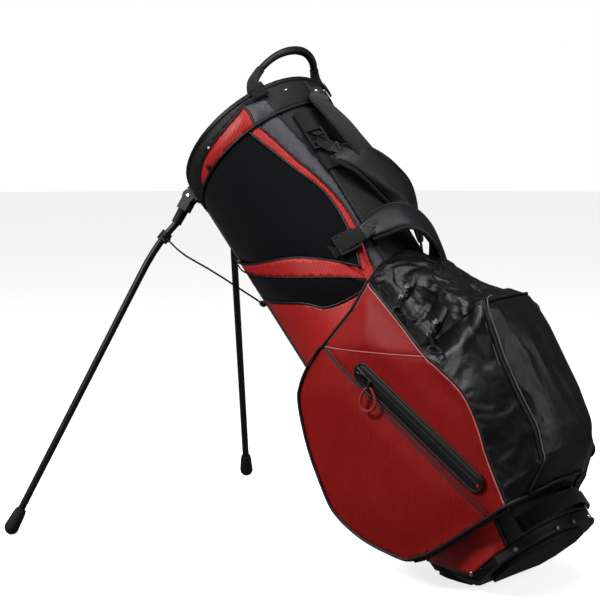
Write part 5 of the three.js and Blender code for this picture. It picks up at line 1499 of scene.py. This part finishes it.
# Zips
def stadium(a, b, half, margin, normal, thick, inset=0.0):
    """Closed plate with round ends between two points, its face along normal."""
    along = (b - a) / np.linalg.norm(b - a)
    beside = np.cross(normal, along)
    a, b = a - along * margin, b + along * margin
    r = half - inset
    ring = []
    for centre, turn in ((b, 0), (a, math.pi)):
        inner = centre - along * (half if turn == 0 else -half)
        for k in range(13):
            t = turn - math.pi / 2 + k * math.pi / 12
            ring.append(inner + along * r * math.cos(t) + beside * r * math.sin(t))
    ring = np.array(ring)
    return [ring + normal * d for d in thick]


def make_side_zips(mats):
    """The welded zips on the side pockets: rim, band, coil, end dot, slider and cord."""
    for name, side in (("near", -1), ("far", 1)):
        normal = np.array((0.0, side, 0.0))
        a, b = (np.array((x, side * (POCKET_FACE + 0.3), z), float) for x, z in (ZIP_FROM, ZIP_TO))
        along = (b - a) / np.linalg.norm(b - a)
        beside = np.cross(normal, along)

        def plates(*steps):
            return [stadium(a, b, ZIP_HALF, 8, normal, [height], inset)[0] for height, inset in steps]

        rim = plates((0, 0), (1.6, 0), (2.6, 1.0), (2.6, 3.2), (1.2, 4.2))
        obj = grid_piece(f"{name}_zip_rim", rim, wrap=True, caps=True)
        smooth_shade(obj.data, 30)
        finish_piece(obj, mats["piping"], replaces=[f"{name}_zip_strip"])
        well = plates((1.3, 4.6), (2.0, 6.8), (1.9, 12.2))
        obj = grid_piece(f"{name}_zip_band", well, wrap=True, caps=True)
        smooth_shade(obj.data, 40)
        finish_piece(obj, mats["tape"])
        run = [a + along * 4, (a + b) / 2, b - along * 2]
        coil = strap(f"{name}_zip_coil", smooth_line([p + normal * 2.1 for p in run], 4),
                     beside, 5.0, 1.2)
        finish_piece(coil, mats["zip"])
        dot = b + along * 1 + normal * 2.5
        knobs(f"{name}_zip_dot", [(dot, normal)], mats["red_cord"], 2.7, 1.0)
        make_zip_car(name, side, a, along, normal, beside, mats)


def make_zip_car(name, side, a, along, normal, beside, mats):
    """Slider with its arch, the pull laid along the zip, and the cord loop that hangs from it."""
    at = a + along * 6
    body = strap("part", [at - along * 8 + normal * 4, at + normal * 4.6, at + along * 9 + normal * 4],
                 beside, lambda t: 10.5 - 2.5 * t, 3.6, 3)
    arch = tube("part", smooth_line([at - along * 6 + normal * 5, at - along * 3 + normal * 8,
                                     at + along * 3 + normal * 8, at + along * 6 + normal * 5], 1), 1.2, 8)
    obj = joined(f"{name}_zip_car", [body, arch])
    smooth_shade(obj.data, 40)
    finish_piece(obj, mats["gunmetal"], f"{name}_zip_slider", [f"{name}_zip_slider"])
    pull = [at + along * k + normal * h for k, h in ((1, 7.2), (8, 6.4), (16, 5.6), (24, 5.4))]
    tab = strap(f"{name}_zip_tab", smooth_line(pull, 2), beside, lambda t: 6 + 2.4 * t, 1.7, 3)
    smooth_shade(tab.data, 40)
    finish_piece(tab, mats["gunmetal"], f"{name}_zip_slider")
    down = np.array((-math.sin(LEAN), 0, -math.cos(LEAN)))
    eye = at + along * 22 + normal * 7.0
    finish = mats["red_cord"] if side < 0 else mats["cord"]
    make_cord_loop(f"{name}_zip_cord", eye, eye + down * 24 + normal * 3, np.cross(normal, down),
                   (12.5, 17.0), 2.0, finish, f"{name}_zip_slider", mats)


def make_cord_loop(name, eye, centre, across, size, radius, finish, body, mats):
    """A cord doubled through an eye, drawn together in a moulded grip and opened to a ring."""
    turn = np.linspace(0, 2 * math.pi, 41)[:-1]
    wide, tall = size
    fall = centre - eye
    fall /= np.linalg.norm(fall)
    across = across - fall * fall.dot(across)
    across /= np.linalg.norm(across)
    normal = np.cross(across, fall)
    ring = [centre + across * wide * math.sin(t) * (1 - 0.28 * math.cos(t)) - fall * tall * math.cos(t)
            + normal * 1.2 * math.sin(t) for t in turn]
    obj = tube(name, ring, radius, 8, closed=True)
    finish_piece(obj, finish, body)
    stem = smooth_line([eye - fall * 2, eye + fall * 2, centre - fall * (tall + 1),
                        centre - fall * (tall - 3)], 2)
    radii = [radius, radius * 1.5, radius * 1.6, radius * 1.3]
    grip = tube(name + "_grip", stem, np.interp(np.linspace(0, 1, len(stem)), [0, 0.3, 0.7, 1], radii), 10)
    finish_piece(grip, mats["moulding"], body)


# The two rear zips: start and end in the side view, the slider's place along it, and where its ring hangs
REAR_ZIPS = {
    "upper": ((REAR_HALF + 52, UPPER_TOP - 13), (REAR_HALF + 2, UPPER_TOP - 35), 17.5, (131, -120, 376)),
    "lower": ((REAR_HALF + 82, REAR_TOP + 31), (REAR_HALF + 30, REAR_TOP + 8), 27.5, (164, -148, 288)),
}
HINGE_LIFT = 1.4 + 0.3 + 4.4 + 1.8
PULL_LENGTH = 17


def make_rear_zips(mats):
    """The two rear zips: tape, coil, stitches, slider, pull and cord."""
    tilt = math.atan2(30, UPPER_TOP - REAR_TOP)
    normal = np.array((0, -math.cos(tilt), math.sin(tilt)))
    for name, (start, end, at, hang) in REAR_ZIPS.items():
        a = np.array((start[0], -float(upper_half(start[1])), start[1])) + normal * 0.3
        along = np.array((end[0] - start[0], 0.0, end[1] - start[1]))
        along[1] = along[2] * normal[2] / -normal[1]
        length = np.linalg.norm(along)
        along /= length
        beside = np.cross(normal, along)
        b = a + along * length
        rings = stadium(a, b, 7, 0, normal, [0, 0.9]) + stadium(a, b, 7, 0, normal, [1.35], 0.8)
        obj = grid_piece(f"{name}_zip_band", rings, wrap=True, caps=True)
        smooth_shade(obj.data, 30)
        finish_piece(obj, mats["tape"], replaces=[f"{name}_zip_tape"])
        ends = (a + along * 3, b - along * 3)
        run = [p + normal * 1.4 for p in (ends[0], (a + b) / 2, ends[1])]
        coil = strap(f"{name}_zip_coil", run, beside, 4.2, 0.9)
        finish_piece(coil, mats["zip"])
        rows = [straight_line([p + beside * s * 5.2 + normal * 1.2 for p in ends], 4) for s in (-1, 1)]
        stitches(f"{name}_zip_stitches", rows, mats["thread"])
        refined(f"{name}_zip_slider", mats["nickel"], 0.35)
        refined(f"{name}_zip_pull", mats["nickel"], 0.3)
        eye = a + along * at + normal * HINGE_LIFT + along * PULL_LENGTH + normal * 0.2
        make_cord_loop(f"{name}_pull_cord", eye, np.array(hang, float), np.array((0.5, 0.2, -0.7)),
                       (9.5, 10.5), 1.9, mats["cord"], f"{name}_zip_pull", mats)


# Straps, handle and bands
def webbing_run(name, path, across, width, thick, material, replaces=()):
    """A band along a smooth run through a few points."""
    return band(name, smooth_line(path, 4), across, width, thick, material, replaces)


UPPER_SPREAD = [(0, 0.6), (0.12, 0.86), (0.35, 1.04), (0.62, 1.04), (0.78, 0.92), (0.9, 0.72), (1, 0.6)]
PAD_DEPTH = [(0, 0.5), (0.15, 0.9), (0.4, 1), (0.62, 0.95), (0.78, 0.8), (0.9, 0.5), (1, 0.3)]
# The shoulder pads: the share of their width and thickness along them, and the lines they follow
UPPER_PAD = [(134, -30, 669), (143, -25, 654), (151, -8, 635), (151, 12, 614), (146, 33, 593),
             (139, 53, 570), (129, 65, 546), (117, 71, 520), (100, 73, 490)]
LOWER_PAD = [(121, -58, 526), (133, -50, 526), (146, -38, 525), (160, -20, 522), (166, 4, 509),
             (160, 27, 490), (143, 48, 469), (120, 66, 456), (90, 87, 450)]
LOWER_SPREAD = [(0, 0.6), (0.12, 0.86), (0.3, 1.0), (0.5, 1.14), (0.72, 1.3), (0.88, 1.0), (1, 0.7)]


def upper_across(t):
    w = float(smoothstep(t, 0.5, 0.85))
    return np.array((0.3, 0.8, 0.35)) * (1 - w) + np.array((-0.59, 0.81, 0)) * w


def lower_across(t):
    return np.array((-0.3 * (1 - t), 0.45 * math.sin(math.pi * t), 0.9))


def along_pad(shares, span):
    """A table of shares along a pad, made smooth."""
    smooth = smooth_line(np.array(shares), 0.02)
    return np.interp(span, smooth[:, 0], smooth[:, 1])


def make_pad(name, path, across, spread, sizes, mats):
    """A shoulder pad: a swelling lens of foam with a bound edge, sewn to webbing at its ends."""
    spine = smooth_line(path, 4)
    span = np.linspace(0, 1, len(spine))
    widths = mm(sizes.pad_width) * along_pad(spread, span)
    thicks = mm(sizes.pad_thickness) * along_pad(PAD_DEPTH, span)
    _, side, up = path_frames(spine, across)
    turn = np.linspace(0, 2 * math.pi, 36, endpoint=False)
    end = int(np.searchsorted(span, 0.93))
    rings = []
    for p, s, u, w, t in zip(spine[:end], side, up, widths, thicks):
        c, q = np.cos(turn), np.sin(turn)
        x = np.sign(c) * np.abs(c) ** 0.75 * (w / 2 - 1.5)
        y = np.sign(q) * np.abs(q) ** 0.9 * (t / 2 - 0.8)
        rings.append(p + np.outer(x, s) + np.outer(y, u))
    first = spine[0] + (rings[0] - spine[0]) * 0.45 + (spine[0] - spine[1]) * 0.4
    last = spine[end - 1] + (rings[-1] - spine[end - 1]) * 0.45 + (spine[end] - spine[end - 1]) * 0.4
    obj = grid_piece(name, [first, *rings, last], wrap=True, caps=True)
    puffed(obj, 3.2, 4.0, 3.0)
    finish_piece(obj, mats["pad"], replaces=[name.replace("_pad", "_strap_pad")])
    edges = []
    for s_sign in (-1, 1):
        rim = [p + s * s_sign * (w / 2 - 1.4) for p, s, w in zip(spine[:end], side, widths)]
        edges.append(strap("edge", rim, ALONG_BAG, 6.0, 4.2, 3))
    joined_piece(name + "_binding", edges, mats["ribbed"], 50)
    face = 1 if np.dot(up[4], skin_normal(20, 600)) > 0 else -1
    rows = []
    for s_sign in (-1, 1):
        row = zip(spine[2:end - 2], side[2:], up[2:], widths[2:], thicks[2:])
        rows.append(np.array([p + s * s_sign * (w / 2 - 5.5) + u * face * (t / 2 * 0.5 + 0.3)
                              for p, s, u, w, t in row]))
    stitches(name + "_stitches", rows, mats["thread"], 4.2, 3.0, 0.45)
    band(name + "_tail", spine[end - 3:], lambda t: across(0.9 + 0.1 * t), 26, 2.8, mats["webbing"])


def crosswise(run, at):
    """The direction across a strap that lies on the tube, at one of its points."""
    along = run[at] - run[at - 2]
    out = run[at] * (1, 1, 0)
    across = np.cross(along, out)
    return across / np.linalg.norm(across)


def sewn_box(name, run, face, half_long, half_wide, finish):
    """A sewn box with its diagonals on the middle of a short strap."""
    middle = len(run) // 2
    along = run[middle + 2] - run[middle - 2]
    along /= np.linalg.norm(along)
    beside = np.cross(along, face)
    beside /= np.linalg.norm(beside)
    normal = np.cross(beside, along)
    if normal.dot(face) < 0:
        normal = -normal
    box_stitch(name, run[middle] + normal * 1.2, along, beside, normal, half_long, half_wide, finish)


def box_stitch(name, centre, along, beside, normal, half_long, half_wide, finish):
    """A sewn box with its diagonals."""
    c = [centre + along * a * half_long + beside * b * half_wide + normal * 0.7
         for a, b in ((-1, -1), (1, -1), (1, 1), (-1, 1))]
    runs = [straight_line([*c, c[0]], 2), straight_line([c[0], c[2]], 2), straight_line([c[1], c[3]], 2)]
    stitches(name, runs, finish, 2.6, 2.0, 0.42)


ALONG_BAG = (0, 0, 1)


def make_spine_strip(mats):
    """The wide flat strip down the spine, with its two seams."""
    strip = []
    for z in np.linspace(432, 757, 60):
        phi = np.linspace(-24, 24, 25)
        strip.append(skin(phi, z, 3.0 + 0.6 * np.cos(np.radians(phi * 3.4))))
    obj = grid_piece("spine_strap_panel", strip)
    add_modifier(obj, "SOLIDIFY", thickness=0.0024, offset=0)
    finish_piece(obj, mats["matt"], replaces=["spine_strip"])
    rows = [skin(np.full(80, p), np.linspace(440, 752, 80), 4.6) for p in (-21.5, 21.5)]
    stitches("spine_panel_stitches", rows, mats["thread"])


def make_upper_strap(sizes, mats):
    """The upper strap: webbing, loop through the buckle, pad, sewn patch and the lead from the anchor."""
    web = [skin(20, z, 5.2) for z in (646, 680, 700, 730, 755)]
    webbing_run("upper_web", web, (0.34, 0.94, 0), 26, 2.6, mats["webbing"],
                replaces=["upper_strap_web"])
    loop = [(20.5, 712, 8.4), (19.5, 700, 9.4), (17.5, 688, 10.5), (14, 674, 13), (11.5, 662, 17)]
    loop = smooth_line([skin(*place) for place in loop], 3)
    band("upper_web_loop", loop, crosswise(loop, 14), 25, 2.2, mats["webbing"])
    make_pad("upper_pad", UPPER_PAD, upper_across, UPPER_SPREAD, sizes, mats)
    patch = smooth_line([skin(16, 678, 14), skin(12, 667, 17.6), (144, -24, 652.0)], 2)
    band("upper_pad_patch", patch, crosswise(patch, 12), 25, 2.2, mats["pad"])
    sewn_box("upper_box_stitch", patch, skin_normal(12, 667), 12, 9.5, mats["grey_thread"])
    refined("upper_buckle", mats["moulding"], 0.8)
    lead = [skin(-4, 778, 12), (143, -8, 762), (148, -7, 737), (154, -6, 705), (157, -5, 676), (157, 0, 652),
            (153, 8, 632)]
    webbing_run("upper_pad_lead", lead, (0.08, 1, 0.05), lambda t: 30 + 12 * smoothstep(t, 0, 0.5),
                4.2, mats["ribbed"])


def make_lower_strap(sizes, mats):
    """The lower strap: webbing, loop through the buckle, its red tail, pad and sewn patch."""
    web = [skin(p, 525 + d, 1.8) for p, d in ((54, -1), (47, 0), (40, 0), (33, 1), (28, 1))]
    webbing_run("lower_web", web, ALONG_BAG, 26, 2.6, mats["webbing"], replaces=["lower_strap_web"])
    make_pad("lower_pad", LOWER_PAD, lower_across, LOWER_SPREAD, sizes, mats)
    refined("lower_buckle", mats["moulding"], 0.8)
    tail = [(33.7, 514.0, 5), (34.6, 501.9, 7), (35.7, 491.9, 6.5), (36.3, 483.4, 3.5)]
    webbing_run("red_web_tail", [skin(*place) for place in tail], (0.75, -0.62, -0.2), 10, 1.6,
                mats["red_cord"])
    loop = [skin(48, 525, 7.4), skin(42, 525, 8.8), skin(36, 526, 10), skin(30, 526, 11.5),
            (122, -57, 526.0)]
    band("lower_web_loop", smooth_line(loop, 3), ALONG_BAG, 25, 2.2, mats["webbing"])
    face = np.array((0.55, -0.83, 0.0))
    patch = smooth_line([(116, -65, 525.0), (128, -58, 525.5), (140, -47.5, 525.0)], 2) + face * 3.6
    band("lower_pad_patch", patch, ALONG_BAG, 25, 2.2, mats["pad"])
    sewn_box("lower_box_stitch", patch, face, 11, 9.5, mats["grey_thread"])


def make_anchor(mats):
    """The plate that holds the upper strap at the mouth, with its rivets."""
    plate = [skin(-4, z, out) for z, out in ((794, 8.6), (776, 9.6), (758, 9.4), (744, 8.6))]
    webbing_run("anchor_web", plate, (0, 1, 0), lambda t: 34 - 4 * t, 3.4, mats["webbing"])
    knobs("anchor_rivets", [(skin(-4, 785, 11.2), skin_normal(-4, 770))], mats["steel"], 5.2, 2.2)
    small = [(skin(p, z, 8.0), skin_normal(p, z)) for p, z in ((-10, 776), (3, 768))]
    knobs("anchor_rivets_small", small, mats["steel"], 2.2, 1.2)


# The grab band: angle and height over the skin on the near side; the far side hangs closer, by GRAB_FAR
GRAB_BAND = [(20, 20), (26, 15.5), (33, 9), (38, 3.5), (43, 0.6)]
GRAB_FAR = 0.35
GRAB_Z = 31


def make_grab_band(mats):
    """The ribbed band across the foot of the spine side, sewn down in a box at each end."""
    near = [skin(p, GRAB_Z, 2.8 + off) for p, off in reversed(GRAB_BAND)]
    far = [skin(-p, GRAB_Z, 2.8 + off * GRAB_FAR) for p, off in GRAB_BAND]
    path = [*near, np.array((144, -14, GRAB_Z)), np.array((136, 14, GRAB_Z)), *far]
    webbing_run("grab_band", path, ALONG_BAG, 24, 4.2, mats["ribbed"], replaces=["rear_grab_band"])
    for side, p, inner in (("near", near[0], near[1]), ("far", far[-1], far[-2])):
        along = (inner - p) / np.linalg.norm(inner - p)
        n = np.array((along[1], -along[0], 0))
        n *= np.sign(n.dot(p * (1, 1, 0))) / np.linalg.norm(n)
        box_stitch(f"{side}_grab_stitch", p + n * 2.3 + along * 9, along, np.array((0, 0, 1.0)), n, 7, 9,
                   mats["thread"])


HANDLE_PATH = [(97, -84, 811), (100, -81, 825), (103, -72, 838), (113, -46, 856), (126, -19, 867),
               (136, 6, 870), (140, 28, 868), (139, 44, 862), (133, 55, 852), (123, 61, 842), (112, 66, 830),
               (103, 70, 811)]


ACROSS_HANDLE = (0.9, 0, -0.45)


def sleeve_width(t):
    return 25 - 11 * smoothstep(t, 0.05, 0.9)


def make_handle(mats):
    """The handle over the mouth, with a ribbed sleeve and a sewn tab at each end."""
    path = smooth_line(HANDLE_PATH, 4)
    span = np.linspace(0, 1, len(path))
    obj = tube("handle_core", path, 5.4 + 1.5 * np.exp(-(((span - 0.62) / 0.2) ** 2)), 16)
    smooth_shade(obj.data, 60)
    finish_piece(obj, mats["handle"], replaces=["top_handle"])
    for side, run, share in (("near", path, 0.26), ("far", path[::-1], 0.2)):
        band(f"{side}_handle_sleeve", run[:int(len(path) * share)], ACROSS_HANDLE, sleeve_width, 13.5,
             mats["ribbed"])
    for side, phi, step in (("near", 38.5, 6), ("far", -33.5, -6)):
        tab = [skin(phi, z, out) for z, out in ((825, 6.2), (819, 7.4), (813, 8.2), (806, 8.8), (800, 8.8))]
        tangent = skin(phi + step, 790) - skin(phi - step, 790)
        webbing_run(f"{side}_handle_tab", tab, tangent, 26, 3.0, mats["webbing"])
        box_stitch(f"{side}_handle_stitch", skin(phi, 809, 10.0), np.array((0, 0, 1.0)),
                   tangent / np.linalg.norm(tangent), skin_normal(phi, 806), 8, 11, mats["thread"])


# Panel, operators and stage
class GolfBagSizes(bpy.types.PropertyGroup):
    """Sizes that the pieces are made from"""

    cloth_step: FloatProperty(name="Cloth mesh", description="Spacing of the body cloth's mesh",
                              default=0.006, min=0.003, max=0.02, unit="LENGTH")
    pocket_step: FloatProperty(name="Pocket mesh", description="Spacing of the side pockets' mesh",
                               default=0.005, min=0.003, max=0.02, unit="LENGTH")
    pad_width: FloatProperty(name="Pad width", description="Width of the shoulder pads",
                             default=0.062, min=0.04, max=0.09, unit="LENGTH")
    pad_thickness: FloatProperty(name="Pad thickness", description="Thickness of the shoulder pads",
                                 default=0.015, min=0.006, max=0.03, unit="LENGTH")
    rivet_radius: FloatProperty(name="Tray rivets", description="Radius of the heads round the tray",
                                default=0.0036, min=0.002, max=0.006, unit="LENGTH")


class GolfBagColours(bpy.types.PropertyGroup):
    """Main colours of the cloth"""

    red: FloatVectorProperty(name="Red cloth", description="Colour of the coated red cloth",
                             subtype="COLOR", size=3, min=0, max=1, default=hex_colour("#c41e20")[:3])
    charcoal: FloatVectorProperty(name="Charcoal vinyl", description="Colour of the satin vinyl panels",
                                  subtype="COLOR", size=3, min=0, max=1, default=hex_colour("#34343b")[:3])
    black: FloatVectorProperty(name="Black cloth", description="Colour of the rear pockets' coated cloth",
                               subtype="COLOR", size=3, min=0, max=1, default=hex_colour("#040405")[:3])


MATS = {}


class BodyClothOperator(bpy.types.Operator):
    """Cuts the tube's cloth panels along their seams and pipes the seams"""

    bl_idname = "golf_bag.body_cloth"
    bl_label = "Body cloth"

    def execute(self, context):
        make_body_cloth(context.scene.golf_bag_sizes, MATS)
        return {"FINISHED"}


class CollarOperator(bpy.types.Operator):
    """Makes the padded collar, its piping, stitches and snaps"""

    bl_idname = "golf_bag.collar"
    bl_label = "Collar"

    def execute(self, context):
        make_collar(MATS)
        return {"FINISHED"}


class CuffOperator(bpy.types.Operator):
    """Finishes the moulded cuff and hangs the dividers"""

    bl_idname = "golf_bag.cuff"
    bl_label = "Cuff and dividers"

    def execute(self, context):
        make_cuff(MATS)
        return {"FINISHED"}


class BaseOperator(bpy.types.Operator):
    """Finishes the base, the stand and its legs"""

    bl_idname = "golf_bag.base"
    bl_label = "Base and stand"

    def execute(self, context):
        make_base(context.scene.golf_bag_sizes, MATS)
        return {"FINISHED"}


class SidePocketsOperator(bpy.types.Operator):
    """Makes the two side pockets with their gussets, piping and seams"""

    bl_idname = "golf_bag.side_pockets"
    bl_label = "Side pockets"

    def execute(self, context):
        make_side_pockets(context.scene.golf_bag_sizes, MATS)
        return {"FINISHED"}


class RearPocketsOperator(bpy.types.Operator):
    """Makes the ball pocket and the crumpled pocket above it"""

    bl_idname = "golf_bag.rear_pockets"
    bl_label = "Rear pockets"

    def execute(self, context):
        make_rear_pockets(MATS)
        return {"FINISHED"}


class SideZipsOperator(bpy.types.Operator):
    """Makes the welded zips on the side pockets"""

    bl_idname = "golf_bag.side_zips"
    bl_label = "Side zips"

    def execute(self, context):
        make_side_zips(MATS)
        return {"FINISHED"}


class RearZipsOperator(bpy.types.Operator):
    """Makes the two rear zips with their pulls and cords"""

    bl_idname = "golf_bag.rear_zips"
    bl_label = "Rear zips"

    def execute(self, context):
        make_rear_zips(MATS)
        return {"FINISHED"}


class StrapsOperator(bpy.types.Operator):
    """Makes the shoulder straps, their pads and the grab band"""

    bl_idname = "golf_bag.straps"
    bl_label = "Straps"

    def execute(self, context):
        sizes = context.scene.golf_bag_sizes
        make_spine_strip(MATS)
        make_upper_strap(sizes, MATS)
        make_lower_strap(sizes, MATS)
        make_anchor(MATS)
        make_grab_band(MATS)
        return {"FINISHED"}


class HandleOperator(bpy.types.Operator):
    """Makes the handle over the mouth with its sleeves and tabs"""

    bl_idname = "golf_bag.handle"
    bl_label = "Handle"

    def execute(self, context):
        make_handle(MATS)
        return {"FINISHED"}


class StageOperator(bpy.types.Operator):
    """Sets the camera, the floor and the studio light"""

    bl_idname = "golf_bag.stage"
    bl_label = "Stage"

    def execute(self, context):
        make_stage(context.scene)
        return {"FINISHED"}


CAMERA_AT = (1.3742, -2.0811, 0.693)
CAMERA_TURN = (90 - 6.45, 0, 39.56)
CAMERA_LENS = 101.55
STAGE_REACH = 12
WORLD_LIGHT = 0.09
# Each light: name, place, aim, size and power
LIGHTS = [
    ("key", (-1.1, -2.3, 2.2), (-0.05, 0, 0.4), (1.0, 1.0), 64),
    ("top", (0.3, -0.3, 2.6), (0, 0, 0.4), (1.6, 0.9), 26),
    ("rim", (2.1, 0.4, 1.3), (0.1, 0, 0.35), (0.5, 1.4), 12),
]


def glowing(name, colour, roughness, strength):
    return new_material(name, colour, roughness, Specular_IOR_Level=0.0, Emission_Color=(1, 1, 1, 1),
                        Emission_Strength=strength)[0]


def make_stage(scene):
    """Camera at the photo's place, a pale floor, and a soft key from the upper left."""
    data = bpy.data.cameras.new("photo_camera")
    data.lens = CAMERA_LENS
    data.sensor_width = 36
    camera = bpy.data.objects.new("photo_camera", data)
    camera.location = CAMERA_AT
    camera.rotation_euler = [math.radians(a) for a in CAMERA_TURN]
    scene.collection.objects.link(camera)
    scene.camera = camera
    corners = [(x * STAGE_REACH, y * STAGE_REACH, 0) for x, y in ((-1, -1), (1, -1), (1, 1), (-1, 1))]
    floor_mesh = bpy.data.meshes.new("floor")
    floor_mesh.from_pydata(corners, [], [(0, 1, 2, 3)])
    floor = add_object("floor", floor_mesh)
    floor.data.materials.append(glowing("studio_paper", "#f4f4f4", 0.95, 0.8))
    room = bmesh.new()
    bmesh.ops.create_icosphere(room, subdivisions=4, radius=STAGE_REACH)
    bmesh.ops.reverse_faces(room, faces=room.faces)
    room_mesh = bpy.data.meshes.new("backdrop")
    room.to_mesh(room_mesh)
    room.free()
    backdrop = add_object("backdrop", room_mesh)
    backdrop.data.materials.append(glowing("lit_backdrop_cloth", "#000000", 1.0, 1.0))
    for obj in (floor, backdrop):
        obj.visible_diffuse = obj.visible_glossy = obj.visible_transmission = obj.visible_shadow = False
    world = bpy.data.worlds.new("studio")
    scene.world = world
    world.use_nodes = True
    world.node_tree.nodes["Background"].inputs["Color"].default_value = (1, 1, 1, 1)
    world.node_tree.nodes["Background"].inputs["Strength"].default_value = WORLD_LIGHT
    for name, spot, aim, size, power in LIGHTS:
        data = bpy.data.lights.new(name, "AREA")
        data.shape = "RECTANGLE"
        data.size, data.size_y = size
        data.energy = power
        light = bpy.data.objects.new(name, data)
        light.location = spot
        light.rotation_euler = (Vector(aim) - Vector(spot)).to_track_quat("-Z", "Y").to_euler()
        scene.collection.objects.link(light)
    scene.view_settings.view_transform = "Standard"


STEPS = ["body_cloth", "collar", "cuff", "base", "side_pockets", "rear_pockets", "side_zips", "rear_zips",
         "straps", "handle", "stage"]


class GolfBagPanel(bpy.types.Panel):
    """Lists the golf bag's steps"""

    bl_idname = "VIEW3D_PT_golf_bag"
    bl_label = "Golf bag"
    bl_space_type = "VIEW_3D"
    bl_region_type = "UI"
    bl_category = "Golf bag"

    def draw(self, context):
        for group in (context.scene.golf_bag_sizes, context.scene.golf_bag_colours):
            for key in group.bl_rna.properties.keys():
                if key not in ("rna_type", "name"):
                    self.layout.prop(group, key)
        for step in STEPS:
            self.layout.operator(f"golf_bag.{step}")


CLASSES = [GolfBagSizes, GolfBagColours, BodyClothOperator, CollarOperator, CuffOperator, BaseOperator,
           SidePocketsOperator, RearPocketsOperator, SideZipsOperator, RearZipsOperator, StrapsOperator,
           HandleOperator, StageOperator, GolfBagPanel]


def register():
    for cls in CLASSES:
        bpy.utils.register_class(cls)
    bpy.types.Scene.golf_bag_sizes = bpy.props.PointerProperty(type=GolfBagSizes)
    bpy.types.Scene.golf_bag_colours = bpy.props.PointerProperty(type=GolfBagColours)


def unregister():
    del bpy.types.Scene.golf_bag_colours
    del bpy.types.Scene.golf_bag_sizes
    for cls in reversed(CLASSES):
        bpy.utils.unregister_class(cls)


def main():
    register()
    MATS.update(make_materials(bpy.context.scene.golf_bag_colours))
    for step in STEPS:
        getattr(bpy.ops.golf_bag, step)()


if __name__ == "__main__":
    main()
